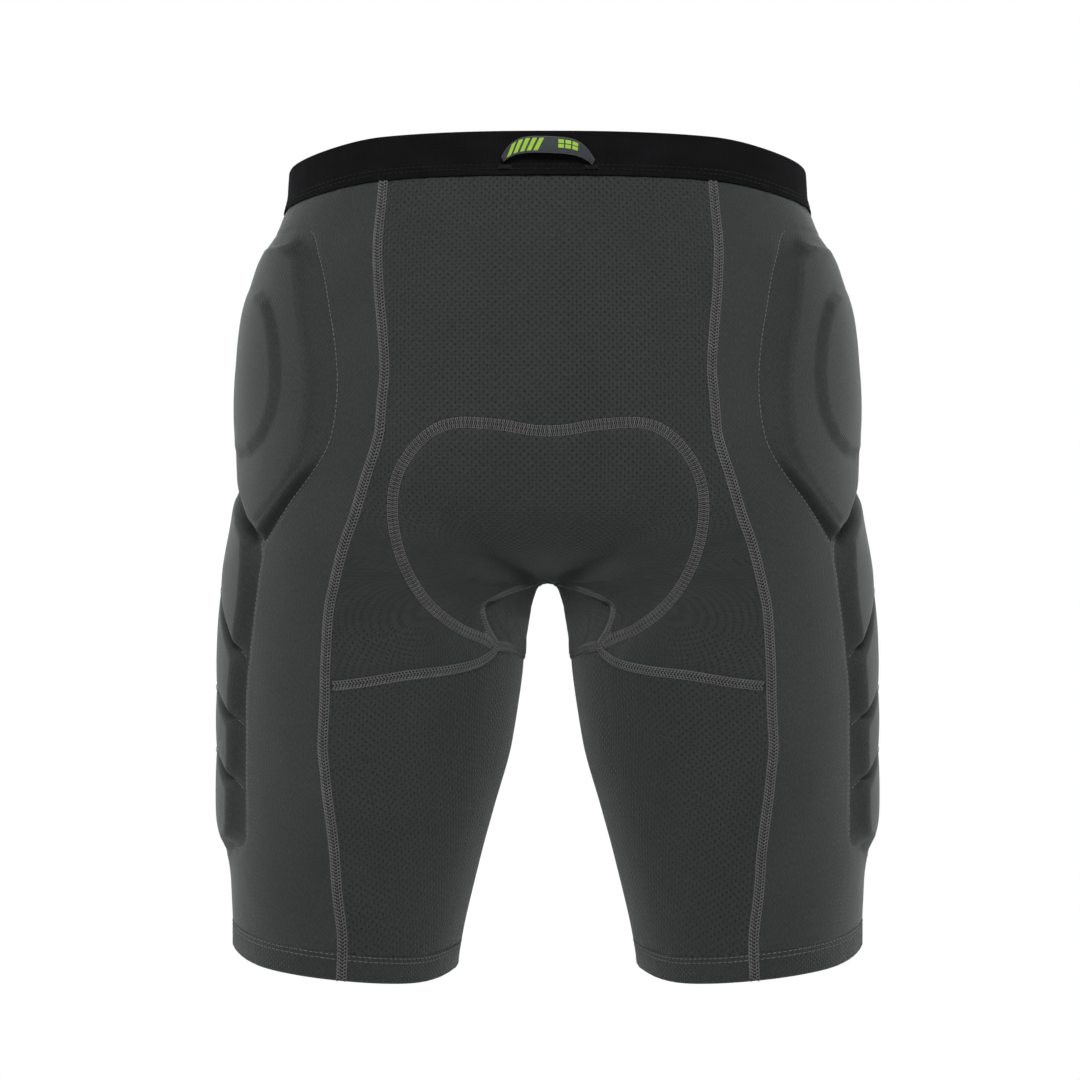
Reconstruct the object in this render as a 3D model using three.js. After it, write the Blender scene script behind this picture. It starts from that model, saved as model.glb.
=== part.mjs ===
// Padded impact shorts, millimetres, +Z up, origin at the bottom centre of the whole.
// The wearer faces -Y, so the back of the garment faces +Y and the wearer's left side is +X.
// The garment is one smooth skin: a pelvis tube melting into two tapered legs. Every textile
// piece is a sheet laid on that skin between seam lines, and every impact foam piece is a block
// between the skin and the side sheet that bulges over it.
// Depths are measured along the skin's outward direction, so negative depths lie inside.
import * as THREE from "three";

// ---- driving dimensions ----
const BACK = 1;
const FRONT = -1;

const SHEET_HALF = 0.6; // half thickness of a stretch mesh sheet
const BUTT_GAP = 0.9; // half the gap where two sheets butt under a thigh seam
const SEAM_GAP_DEG = 0.7; // half the gap under a side seam, as an angle about the leg
const EDGE_GAP = 0.5; // from a panel edge to the waistband or hem band

const BAND_LOW = 451; // lower edge of the waistband at the side seams
const BAND_HEIGHT = 25;
const BAND_TILT = 0.0625; // the band rises towards the back
const BAND_HALF = 1.8; // half thickness of the folded waistband
const BAND_WALL = 0.9;
const CORE_HALF = 0.6; // half thickness of the elastic core
const CORE_LOW = 1.5; // core edges, above the lower edge of the band
const CORE_HIGH = 23.7;

const HEM_SLOPE = 0.105; // the hem rises towards the outside
const HEM_X0 = 54; // where the hem line is at height 0
const HEM_HEIGHT = 16;
const HEM_IN = -1.2;
const HEM_OUT = 0.9;
const GRIP_LOW = 3;
const GRIP_HIGH = 13;
const GRIP_IN = -2.5;
const GRIP_OUT = -1.5;

const SEAM_WIDTH = 5.6; // side and thigh seams
const NARROW_SEAM_WIDTH = 4.6; // inseam and coverstitch
const GUSSET_SEAM_WIDTH = 3.4;
const SEAM_LOW = 1.5; // depths of the thread band faces
const SEAM_HIGH = 2.3;
const INSEAM_DEG = 200;
const INSEAM_GAP_DEG = 0.8;

const HIP_TOP = 12; // relief of the inner hip pad level
const HIP_STEP = 7.5; // relief of the outer hip pad level
const THIGH_TOP = 8.5; // relief of the thigh pad segments
const FOOT = 2.2; // relief at the foot of a pad wall
const GROOVE = 0.6; // relief left in a living hinge groove
const PAD_GAP = 0.9; // from the foam face to the middle of the side sheet
const RIM_DEG = 2.3; // from the stitch line to the foot of the pad wall
const LINING_IN = -3.2;
const LINING_OUT = -2.2;

const CHAMOIS_IN = -7.2;
const CHAMOIS_OUT = -4.2;
const SEAT_FOAM_IN = -12.8;
const SEAT_FOAM_OUT = -8.8;
const SEAT_FOAM_RIM = 1.2; // thickness of the insert at its rim

const LOOP_HALF = 23; // half length of the hanger loop
const LOOP_PIVOT_Z = 464.6;
const LOOP_PIVOT_Y = 108.6;
const LOOP_T = 0.5; // half thickness of the ribbon

const COLOURS = {
  mesh: 0x3a3c3b,
  sideMesh: 0x434645,
  band: 0x101012,
  core: 0x1c1c20,
  thread: 0x5f5a5a,
  foam: 0x24262a,
  lining: 0x2a2c2c,
  chamois: 0x2f3436,
  chamoisFoam: 0x39423a,
  grip: 0x3c3f40,
  label: 0x3d444b,
  tack: 0x0c0c0c,
};

// ---- small helpers ----
const lerp = (a, b, t) => a + (b - a) * t;
const range = (first, last) => Array.from({ length: last - first + 1 }, (_, i) => first + i);
// Values of make(fraction, index) at even steps from 0 to 1, both ends included.
const sample = (steps, make) => range(0, steps).map((i) => make(i / steps, i));
const mirror = (v) => new THREE.Vector3(-v.x, v.y, v.z);

// Largest value found inside, between low (inside) and high.
function bisect(low, high, steps, isInside) {
  for (let i = 0; i < steps; i++) {
    const middle = (low + high) / 2;
    if (isInside(middle)) low = middle;
    else high = middle;
  }
  return low;
}

// Monotone cubic through [input, output] points, held constant beyond the ends.
function curve(points) {
  const sorted = [...points].sort((a, b) => a[0] - b[0]);
  const x = sorted.map((p) => p[0]);
  const y = sorted.map((p) => p[1]);
  const last = x.length - 1;
  const gap = range(0, last - 1).map((i) => x[i + 1] - x[i]);
  const slope = gap.map((width, i) => (y[i + 1] - y[i]) / width);
  const tangent = new Array(last + 1).fill(0);
  tangent[0] = slope[0];
  tangent[last] = slope[last - 1];
  for (let i = 1; i < last; i++) {
    if (slope[i - 1] * slope[i] <= 0) continue;
    const before = 2 * gap[i] + gap[i - 1];
    const after = gap[i] + 2 * gap[i - 1];
    tangent[i] = (before + after) / (before / slope[i - 1] + after / slope[i]);
  }
  return (input) => {
    const v = Math.min(Math.max(input, x[0]), x[last]);
    let i = 0;
    while (i < last - 1 && v > x[i + 1]) i++;
    const t = (v - x[i]) / gap[i];
    const t2 = t * t;
    const t3 = t2 * t;
    return (2 * t3 - 3 * t2 + 1) * y[i] + (t3 - 2 * t2 + t) * gap[i] * tangent[i] +
      (-2 * t3 + 3 * t2) * y[i + 1] + (t3 - t2) * gap[i] * tangent[i + 1];
  };
}

// Even steps along a polyline of [x, z].
function walk(points, steps) {
  const reached = [0];
  for (let i = 1; i < points.length; i++) {
    const [from, to] = [points[i - 1], points[i]];
    reached.push(reached[i - 1] + Math.hypot(to[0] - from[0], to[1] - from[1]));
  }
  const total = reached[reached.length - 1];
  return range(0, steps).map((step) => {
    const target = (total * step) / steps;
    let i = 1;
    while (i < points.length - 1 && reached[i] < target) i++;
    const t = (target - reached[i - 1]) / (reached[i] - reached[i - 1] || 1);
    return [lerp(points[i - 1][0], points[i][0], t), lerp(points[i - 1][1], points[i][1], t)];
  });
}

// ---- the skin ----
// Leg extents, [height, x] for the inner and outer sides and [height, y] for back and front.
const legInner = curve([
  [-30, 56], [5, 53.7], [23, 50.4], [59, 42], [95, 32.4], [131, 22.2], [164, 16.8],
  [194, 13.2], [212, 10.8], [230, 7.5], [250, 8], [280, 14], [340, 40],
]);
const legOuter = curve([
  [-30, 187], [0, 187], [23, 187], [50, 188], [68, 189], [95, 189], [131, 189], [164, 189],
  [194, 188], [212, 187], [230, 185.5], [248, 183], [284, 172], [340, 150],
]);
const legBack = curve([
  [-30, 77], [0, 78], [23, 79], [59, 83], [95, 88], [131, 93], [164, 97], [190, 101],
  [212, 106], [234, 112], [260, 116], [290, 112], [340, 90],
]);
const legFront = curve([
  [-30, -74], [0, -74], [23, -75], [59, -80], [95, -86], [131, -92], [164, -97],
  [190, -101], [212, -104], [234, -106], [260, -104], [290, -96], [340, -70],
]);
// Pelvis, [height, half width], [height, y of the back] and [height, y of the front].
const pelvisHalfWidth = curve([
  [225, 60], [240, 120], [256, 160], [275, 176], [296, 179], [320, 176.5], [350, 174.5],
  [380, 172], [400, 169], [419, 165.5], [431, 163], [446, 160.5], [455, 158.5],
  [464, 156.8], [484, 156], [510, 156],
]);
const pelvisBack = curve([
  [225, 0.1], [236, 30], [242, 62], [250, 88], [262, 108], [280, 124], [300, 131],
  [320, 133], [350, 131], [380, 125], [410, 117], [440, 108], [460, 104.5], [484, 104],
  [510, 104],
]);
const pelvisFront = curve([
  [225, -0.1], [236, -18], [243, -40], [252, -60], [265, -80], [280, -94], [300, -103],
  [320, -107], [350, -109], [380, -108], [410, -106], [440, -103], [460, -101],
  [484, -100], [510, -100],
]);
const LEG_POWER = 2.15; // superellipse exponents of the cross sections
const PELVIS_POWER = 2.35;
const MELT = 6; // softness of the blend between legs and pelvis
const REACH = 260; // search distance beyond the skin in every direction

function superellipse(u, v, power) {
  return (Math.abs(u) ** power + Math.abs(v) ** power + 1e-12) ** (1 / power);
}
function legField(x, y, z) {
  const [inner, outer, back, front] = [legInner(z), legOuter(z), legBack(z), legFront(z)];
  const a = (outer - inner) / 2;
  const b = (back - front) / 2;
  const u = (x - (inner + outer) / 2) / a;
  const v = (y - (back + front) / 2) / b;
  return ((superellipse(u, v, LEG_POWER) - 1) * (a + b)) / 2;
}
function pelvisField(x, y, z) {
  const a = pelvisHalfWidth(z);
  const b = y > 0 ? pelvisBack(z) : -pelvisFront(z);
  return (superellipse(x / a, y / b, PELVIS_POWER) - 1) * Math.min(a, b);
}
// Negative inside the garment; the legs fade out above the hips, the pelvis below the crotch.
function field(x, y, z) {
  const legFade = Math.max(0, z - 320) * 0.6;
  const parts = [
    legField(x, y, z) + legFade,
    legField(-x, y, z) + legFade,
    pelvisField(x, y, z) + Math.max(0, 240 - z),
  ];
  const least = Math.min(...parts);
  const [left, right, pelvis] = parts.map((value) => Math.exp((least - value) / MELT));
  return least - MELT * Math.log(left + right + pelvis);
}
// Differences of the field across 2h on each axis; points on the mid plane stay on it.
function fieldDifference({ x, y, z }, h) {
  return new THREE.Vector3(
    Math.abs(x) < 1e-6 ? 0 : field(x + h, y, z) - field(x - h, y, z),
    field(x, y + h, z) - field(x, y - h, z),
    field(x, y, z + h) - field(x, y, z - h),
  );
}
const normalAt = (p) => fieldDifference(p, 1.2).normalize();

// Moves a point to the skin by damped Newton steps.
function ontoSkin(p) {
  const h = 0.4;
  const q = p.clone();
  for (let i = 0; i < 14; i++) {
    const value = field(q.x, q.y, q.z);
    const gradient = fieldDifference(q, h).divideScalar(2 * h);
    q.addScaledVector(gradient, (-value / Math.max(gradient.lengthSq(), 0.2)) * 0.9);
  }
  return q;
}
// [x, y] of the left leg's centre line, which eases to a fixed place in the pelvis.
function legCentre(z) {
  const rise = Math.min(Math.max((z - 230) / 120, 0), 1);
  const t = rise * rise * (3 - 2 * rise);
  return [
    ((legInner(z) + legOuter(z)) / 2) * (1 - t) + 88 * t,
    ((legBack(z) + legFront(z)) / 2) * (1 - t) + 8 * t,
  ];
}
// Skin point at an angle about the leg's centre line: 0 outwards, 90 back, 180 inwards, -90 front.
function skinAt(deg, z) {
  const [cx, cy] = legCentre(z);
  const angle = THREE.MathUtils.degToRad(deg);
  const cos = Math.cos(angle);
  const sin = Math.sin(angle);
  let reach = REACH;
  // Stop half way to the other leg where the legs are apart.
  if (cos < 0 && field(0, cy - (cx * sin) / cos, z) > 0) reach = Math.min(reach, -cx / cos);
  const radius = bisect(0, reach, 40, (r) => field(cx + r * cos, cy + r * sin, z) < 0);
  return new THREE.Vector3(cx + radius * cos, cy + radius * sin, z);
}
// Skin point met when looking along Y at (x, z), from the back or the front.
function skinFrom(side, x, z) {
  let y = 175;
  while (y > -60 && field(x, side * y, z) > 0) y -= 1;
  const depth = bisect(y, y + 1, 30, (value) => field(x, side * value, z) < 0);
  return new THREE.Vector3(x, side * depth, z);
}

// ---- seam lines and outlines ----
// [height, degrees from the side centre], the same at the back and the front.
const seamDeg = curve([ // side panel seam
  [470, 85], [452, 85.2], [423, 85.4], [395, 86.5], [369, 88.1], [348, 88.9], [331, 88.4],
  [315, 88.2], [304, 87.1], [287, 84.6], [265, 82.1], [254.6, 80.7], [238, 79],
  [218, 77.1], [199, 76.7], [180, 76.5], [164, 76.6], [141, 76.4], [118.6, 78.5],
  [90, 82.9], [73, 85.3], [53, 87.5], [26, 91.2], [5, 92], [-10, 92],
]);
const stitchDeg = curve([ // stitch line round the pads
  [470, 48], [451, 50], [427, 57.2], [406.6, 64.8], [383, 69.9], [360.6, 73.5],
  [338.6, 74.9], [320.7, 74.7], [309.6, 73.8], [293, 69], [276.4, 61.2], [256.8, 53.2],
  [248.3, 49.8], [237.5, 48.3], [220, 46.5], [200, 44.3], [183, 42.3], [162, 40.1],
  [133, 40], [104, 40.6], [82, 41.2], [60, 40.5], [0, 40],
]);
const levelDeg = curve([ // edge of the outer pad level
  [470, 40], [451, 42], [422, 50.2], [383.5, 58.1], [354.6, 63.6], [332, 65], [304, 64.5],
  [279, 56.7], [262.5, 47.4], [251.7, 42.1], [220, 41], [206, 39], [161, 34.2],
  [103, 32.4], [60, 32], [0, 32],
]);
const innerDeg = curve([ // edge of the inner pad level
  [470, 28], [451, 28], [400, 40], [383.7, 43.4], [358, 50.3], [332, 51.9], [312.8, 46.4],
  [300, 40], [280, 30], [260, 26], [200, 24], [0, 22],
]);
// Height of the seam above the thigh panels, [degrees from the side centre, height].
const thighTop = curve([
  [70, 172], [76.8, 172], [87.5, 173.8], [103.6, 178.2], [117.4, 180.5], [129.8, 184],
  [136.9, 189.7], [138.8, 193], [142, 192.6], [160, 188], [180, 185],
]);
// Left half of the line shared by the seat, the front and the gusset, [x, z] from mid plane.
const CROTCH_END = [[30, 221.5], [34, 214], [33.4, 204], [29.8, 193.6]];
const CROTCH_BACK = [
  [0, 231], [6, 231.2], [12, 230.6], [17, 228.8], [22, 226.5], ...CROTCH_END,
];
const CROTCH_FRONT = [
  [0, 246], [6, 245.7], [12, 244.2], [18, 239.5], [24, 231.5], ...CROTCH_END,
];
const crotchLine = (side) => (side === BACK ? CROTCH_BACK : CROTCH_FRONT);

const bandLow = (y) => BAND_LOW + BAND_TILT * y;
const hemLine = (x) => HEM_SLOPE * (Math.abs(x) - HEM_X0);
const panelTop = (p) => bandLow(p.y) - EDGE_GAP;
const panelHem = (p) => hemLine(p.x) + HEM_HEIGHT + EDGE_GAP;

// Height at which the skin at an angle meets a height rule that depends on the skin point.
function solveHeight(deg, start, rule) {
  let z = start;
  for (let i = 0; i < 6; i++) z = rule(skinAt(deg, z));
  return z;
}

// ---- builders ----
const group = new THREE.Group();
group.name = "padded_impact_shorts";

function add(name, geometry, colour, roughness = 0.85) {
  const material = new THREE.MeshStandardMaterial({ color: colour, roughness });
  const mesh = new THREE.Mesh(geometry, material);
  mesh.name = name;
  group.add(mesh);
}
function addTriangles(name, positions, indices, colour) {
  const geometry = new THREE.BufferGeometry();
  const numbers = positions.flatMap((v) => [v.x, v.y, v.z]);
  geometry.setAttribute("position", new THREE.Float32BufferAttribute(numbers, 3));
  geometry.setIndex(indices);
  geometry.computeVertexNormals();
  add(name, geometry, colour);
}

// A spot of a sheet: a skin point, its outward direction, and the depths of both faces.
const spot = (point, inner, outer) => ({ point, normal: normalAt(point), inner, outer });
const atDepth = (s, depth) => s.point.clone().addScaledVector(s.normal, depth);
const mirrorSpot = (s) => ({ ...s, point: mirror(s.point), normal: mirror(s.normal) });
const mirrorGrid = (grid) => grid.map((row) => row.map(mirrorSpot));

// Joins grids of spots that share edge spots into one closed sheet.
function sheet(name, grids, colour) {
  const indexOf = new Map();
  const spots = [];
  const index = (s) => {
    const rounded = s.point.toArray().map((v) => (Math.round(v * 50) / 50 + 0).toFixed(2));
    const key = rounded.join();
    if (!indexOf.has(key)) {
      indexOf.set(key, spots.length);
      spots.push(s);
    }
    return indexOf.get(key);
  };
  const outerPoint = (i) => atDepth(spots[i], spots[i].outer);

  const faces = [];
  for (const grid of grids) {
    const ids = grid.map((row) => row.map(index));
    const part = [];
    let vote = 0; // positive when most faces of the grid look outwards
    const push = (i, j, k) => {
      if (i === j || j === k || i === k) return;
      const [a, b, c] = [i, j, k].map((n) => spots[n].point);
      const across = b.clone().sub(a).cross(c.clone().sub(a));
      const outward = spots[i].normal.clone().add(spots[j].normal).add(spots[k].normal);
      vote += Math.sign(across.dot(outward));
      part.push([i, j, k]);
    };
    for (let r = 0; r < ids.length - 1; r++) {
      for (let c = 0; c < ids[r].length - 1; c++) {
        const quad = [ids[r][c], ids[r][c + 1], ids[r + 1][c + 1], ids[r + 1][c]];
        const [i, j, k, l] = quad;
        const [a, b, d, e] = quad.map(outerPoint);
        // Split along the shorter diagonal.
        if (a.distanceTo(d) <= b.distanceTo(e)) {
          push(i, j, k);
          push(i, k, l);
        } else {
          push(i, j, l);
          push(j, k, l);
        }
      }
    }
    faces.push(...(vote >= 0 ? part : part.map(([i, j, k]) => [i, k, j])));
  }

  const count = spots.length;
  const positions = [...spots.map((s) => atDepth(s, s.outer)), ...spots.map((s) => atDepth(s, s.inner))];
  const indices = [];
  const edges = new Map();
  for (const [i, j, k] of faces) {
    indices.push(i, j, k, count + k, count + j, count + i);
    for (const [u, v] of [[i, j], [j, k], [k, i]]) edges.set(`${u},${v}`, [u, v]);
  }
  // An edge used in one direction only is on the rim and gets a wall.
  for (const [u, v] of edges.values()) {
    if (!edges.has(`${v},${u}`)) indices.push(v, u, count + u, v, count + u, count + v);
  }
  addTriangles(name, positions, indices, colour);
}
function sheetPair(name, grid, colour, suffix = "") {
  sheet(`${name}_left${suffix}`, [grid], colour);
  sheet(`${name}_right${suffix}`, [mirrorGrid(grid)], colour);
}

// Sweeps a closed profile through a list of sections, as a ring or with two end caps.
function sweep(name, sections, isRing, colour) {
  const size = sections[0].length;
  const count = sections.length;
  const positions = sections.flat();
  let faces = [];
  for (let s = 0; s < (isRing ? count : count - 1); s++) {
    const here = s * size;
    const next = ((s + 1) % count) * size;
    for (let i = 0; i < size; i++) {
      const j = (i + 1) % size;
      faces.push([here + i, here + j, next + j], [here + i, next + j, next + i]);
    }
  }
  if (!isRing) {
    const end = (count - 1) * size;
    for (let i = 1; i < size - 1; i++) faces.push([0, i + 1, i], [end, end + i, end + i + 1]);
  }
  let volume = 0;
  for (const [a, b, c] of faces) {
    volume += positions[a].dot(positions[b].clone().cross(positions[c]));
  }
  if (volume < 0) faces = faces.map(([a, b, c]) => [a, c, b]);
  addTriangles(name, positions, faces.flat(), colour);
}

// A thread band along skin points, narrower on its outer face.
function thread(name, points, width, low = SEAM_LOW, high = SEAM_HIGH) {
  const sections = points.map((p, i) => {
    const n = normalAt(p);
    const next = points[Math.min(i + 1, points.length - 1)];
    const along = next.clone().sub(points[Math.max(i - 1, 0)]).normalize();
    const across = along.cross(n).normalize().multiplyScalar(width / 2);
    const foot = p.clone().addScaledVector(n, low);
    const crown = p.clone().addScaledVector(n, high);
    return [
      foot.clone().sub(across),
      foot.clone().add(across),
      crown.clone().addScaledVector(across, 0.8),
      crown.clone().addScaledVector(across, -0.8),
    ];
  });
  sweep(name, sections, false, COLOURS.thread);
}
function threadPair(name, points, width) {
  thread(`${name}_left`, points, width);
  thread(`${name}_right`, points.map(mirror), width);
}

// Fills between four boundary polylines of [x, z] (a Coons patch), then lays it on the skin.
function patch({ top, bottom, inner, outer }, side, depthIn, depthOut) {
  const last = top.length - 1;
  return sample(inner.length - 1, (v, r) => sample(last, (u, c) => {
    const [x, z] = [0, 1].map((k) =>
      (1 - u) * inner[r][k] + u * outer[r][k] + (1 - v) * top[c][k] + v * bottom[c][k] -
      ((1 - u) * (1 - v) * top[0][k] + u * (1 - v) * top[last][k] +
        (1 - u) * v * bottom[0][k] + u * v * bottom[last][k]));
    return spot(skinFrom(side, Math.abs(x) < 1e-6 ? 0 : x, z), depthIn, depthOut);
  }));
}

// Profile of [depth, height] corners for the ring pieces.
const rectangle = (inner, outer, low, high) => [
  [outer, low], [outer, high], [inner, high], [inner, low],
];

// ---- waistband: a folded strip round an elastic core ----
const BAND_STEPS = 48;
function bandPoint(i, depth, height) {
  const angle = (i / BAND_STEPS) * Math.PI * 2;
  const cos = Math.cos(angle);
  const sin = Math.sin(angle);
  const point = new THREE.Vector3(0, 0, BAND_LOW + height);
  for (let k = 0; k < 6; k++) {
    const radius = bisect(0, REACH, 40, (r) => pelvisField(r * cos, r * sin, point.z) < 0);
    point.x = (radius + depth) * cos;
    point.y = (radius + depth) * sin;
    point.z = bandLow(point.y) + height;
  }
  return point;
}
function bandRing(name, profile, colour) {
  const sections = range(0, BAND_STEPS - 1).map((i) => profile.map(([d, h]) => bandPoint(i, d, h)));
  sweep(name, sections, true, colour);
}
const BAND_HOLLOW = BAND_HALF - BAND_WALL;
bandRing("waistband_outer", [
  [BAND_HALF, 0], [BAND_HALF, BAND_HEIGHT], [-BAND_HALF, BAND_HEIGHT], [-BAND_HALF, 0],
  [-BAND_HOLLOW, 0], [-BAND_HOLLOW, BAND_HEIGHT - BAND_WALL],
  [BAND_HOLLOW, BAND_HEIGHT - BAND_WALL], [BAND_HOLLOW, 0],
], COLOURS.band);
bandRing("waistband_elastic", rectangle(-CORE_HALF, CORE_HALF, CORE_LOW, CORE_HIGH), COLOURS.core);

// ---- seat and front panels ----
const PANEL_LOW = 172; // height where the side seam meets the thigh seam
const PANEL_END_DEG = 138.2; // where the panel's lower edge meets the crotch line

function mainPanel(name, side) {
  const rows = 18;
  const columns = 6;
  const seam = sample(24, (t) => {
    const z = lerp(449, PANEL_LOW, t);
    return [skinAt(side * (seamDeg(z) + SEAM_GAP_DEG), z).x, z];
  });
  seam[0][1] = panelTop(skinFrom(side, seam[0][0], 450));
  const bottom = sample(12, (t) => {
    const deg = lerp(PANEL_END_DEG, seamDeg(PANEL_LOW) + SEAM_GAP_DEG, t);
    const p = skinAt(side * deg, thighTop(deg) + BUTT_GAP);
    return [p.x, p.z];
  });
  seam[24] = bottom[12];
  const top = sample(columns, (t) => {
    const x = lerp(0, seam[0][0], t);
    return [x, panelTop(skinFrom(side, x, 452))];
  });
  const middle = [top[0], ...crotchLine(side).slice(0, -1), bottom[0]];
  const edges = {
    top,
    bottom: walk(bottom, columns),
    inner: walk(middle, rows),
    outer: walk(seam, rows),
  };
  const half = patch(edges, side, -SHEET_HALF, SHEET_HALF);
  sheet(name, [half, mirrorGrid(half)], COLOURS.mesh);
}
mainPanel("back_panel", BACK);
mainPanel("front_panel", FRONT);

// ---- gusset ----
// Crotch line across both legs, from the left end to the right; kept drops the end points.
function crotchPoints(side, steps, kept = steps + 1) {
  const line = walk(crotchLine(side), steps).slice(0, kept).reverse();
  const half = line.map(([x, z]) => skinFrom(side, x, z));
  return [...half, ...half.slice(0, -1).reverse().map(mirror)];
}
function gusset() {
  const back = crotchPoints(BACK, 6);
  const front = crotchPoints(FRONT, 6);
  const grid = sample(back.length - 1, (t, i) => {
    const inset = 4.4 / back[i].distanceTo(front[i]);
    return sample(8, (s) => {
      const k = lerp(1.7 * inset, 1 - inset, s);
      const p = back[i].clone().lerp(front[i], k);
      if (t === 0 || t === 1) p.z += 1.6 - 6 * Math.sin(Math.PI * k); // the ends dip
      return spot(ontoSkin(p), -SHEET_HALF, SHEET_HALF);
    });
  });
  sheet("crotch_gusset", [grid], COLOURS.mesh);
}
gusset();

// ---- side panel, pads, linings ----
// [height at the side centre, height at the stitch line, relief ceiling of the row]
const SIDE_ROWS = [
  ["waistband", null, 0], [435, 432, 0],
  // hip pad, rows 2 to 9
  [431, 428, FOOT], [417, 415, HIP_STEP], [398, 398, HIP_TOP], [372, 372, HIP_TOP],
  [345, 345, HIP_TOP], [313, 307, HIP_TOP], [301, 276, HIP_STEP], [292, 260, FOOT],
  [288, 254, GROOVE],
  // thigh segment 1, rows 11 to 14
  [284, 248.5, FOOT], [275, 241, THIGH_TOP], [230, 195, THIGH_TOP], [221, 186, FOOT],
  [218, 182.5, GROOVE],
  // thigh segment 2, rows 16 to 19
  [215, 179, FOOT], [207, 171, THIGH_TOP], [171, 153, THIGH_TOP], [164.5, 146.5, FOOT],
  [161.5, 143, GROOVE],
  // thigh segment 3, rows 21 to 24
  [158.5, 139.5, FOOT], [151, 132, THIGH_TOP], [131, 116.5, THIGH_TOP], [125, 110.3, FOOT],
  [122, 107, GROOVE],
  // thigh segment 4, rows 26 to 29
  [119, 103.7, FOOT], [112, 97, THIGH_TOP], [79, 85, THIGH_TOP], [69, 76, FOOT],
  [65, 72, 0], ["hem", null, 0],
];
const HIP_ROWS = range(2, 9);
const THIGH_FIRST_ROWS = [11, 16, 21, 26]; // each thigh segment takes four rows
const LINING_ROWS = [1, 3, 4, 5, 6, 7, 8, 9, 10, 12, 13, 15, 18, 20, 23, 25, 28, 30];
const HINGE_ROW = 10; // groove between the hip pad and the thigh pads
const CENTRE = 7; // rank of the side centre; rank 0 is the seam
// Columns as [rank, side], from the back seam to the front seam.
const COLUMNS = range(-CENTRE, CENTRE).map((i) => [CENTRE - Math.abs(i), i > 0 ? FRONT : BACK]);
const ALL_COLUMNS = range(0, 14);
const LINING_COLUMNS = range(2, 12);
const PAD_COLUMNS = range(3, 11);

function columnDeg(rank, z) {
  const edge = seamDeg(z) - SEAM_GAP_DEG;
  const stitch = stitchDeg(z);
  const inner = innerDeg(z);
  return [
    edge, (edge + stitch) / 2, stitch, stitch - RIM_DEG, levelDeg(z), inner, inner / 2, 0,
  ][rank];
}
function columnRelief(rank, isHip) {
  return [0, 0, 0, FOOT, isHip ? HIP_STEP : THIGH_TOP, HIP_TOP, HIP_TOP, HIP_TOP][rank];
}
// Height of a row at t, 0 at the side centre and 1 at the stitch line: a rounded chevron.
function chevron(centreZ, edgeZ, t) {
  const rounding = 0.03;
  const start = Math.sqrt(rounding);
  const drop = (Math.sqrt(t * t + rounding) - start) / (Math.sqrt(1 + rounding) - start);
  return centreZ - (centreZ - edgeZ) * drop;
}
function sideHeight(centreZ, edgeZ, rank, side) {
  if (centreZ === "waistband") return solveHeight(side * columnDeg(rank, 450), 450, panelTop);
  if (centreZ === "hem") return solveHeight(side * columnDeg(rank, 20), 20, panelHem);
  let z = chevron(centreZ, edgeZ, 0.5);
  for (let i = 0; i < 8; i++) {
    const t = Math.min(columnDeg(rank, z) / stitchDeg(z), 1.04);
    z = lerp(z, chevron(centreZ, edgeZ, t), 0.6);
  }
  return z;
}
const sideGrid = SIDE_ROWS.map(([centreZ, edgeZ, ceiling], row) =>
  COLUMNS.map(([rank, side]) => {
    const z = sideHeight(centreZ, edgeZ, rank, side);
    const point = skinAt(side * columnDeg(rank, z), z);
    const relief = Math.min(ceiling, columnRelief(rank, row < HINGE_ROW));
    return { point, normal: normalAt(point), relief };
  }),
);
// Picks rows and columns of the side grid; faces gives [inner, outer] depths from the relief.
const cut = (rows, columns, faces) => rows.map((r) => columns.map((c) => {
  const { point, normal, relief } = sideGrid[r][c];
  const [inner, outer] = faces(relief);
  return { point, normal, inner, outer };
}));
const foam = (rows) => cut(rows, PAD_COLUMNS, (relief) => [-SHEET_HALF, relief - PAD_GAP]);

sheetPair("side_panel", cut(range(0, SIDE_ROWS.length - 1), ALL_COLUMNS,
  (relief) => [relief - SHEET_HALF, relief + SHEET_HALF]), COLOURS.sideMesh);
sheetPair("hip_pad", foam(HIP_ROWS), COLOURS.foam);
THIGH_FIRST_ROWS.forEach((first, i) => {
  sheetPair("thigh_pad", foam(range(first, first + 3)), COLOURS.foam, `_${i + 1}`);
});
sheetPair("pad_lining", cut(LINING_ROWS, LINING_COLUMNS, () => [LINING_IN, LINING_OUT]),
  COLOURS.lining);

// ---- rear and front thigh panels ----
function thighPanel(side, columns) {
  const end = (side === BACK ? INSEAM_DEG : 360 - INSEAM_DEG) - INSEAM_GAP_DEG;
  return sample(6, (down) => sample(columns, (across) => {
    let z = 100;
    let deg;
    // Angle and height depend on each other.
    for (let i = 0; i < 10; i++) {
      deg = lerp(seamDeg(z) + SEAM_GAP_DEG, end, across);
      const top = thighTop(deg > 180 ? 360 - deg : deg) - BUTT_GAP;
      z = lerp(top, panelHem(skinAt(side * deg, 20)), down);
    }
    return spot(skinAt(side * deg, z), -SHEET_HALF, SHEET_HALF);
  }));
}
sheetPair("rear_thigh_panel", thighPanel(BACK, 9), COLOURS.mesh);
sheetPair("front_thigh_panel", thighPanel(FRONT, 7), COLOURS.mesh);

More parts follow.
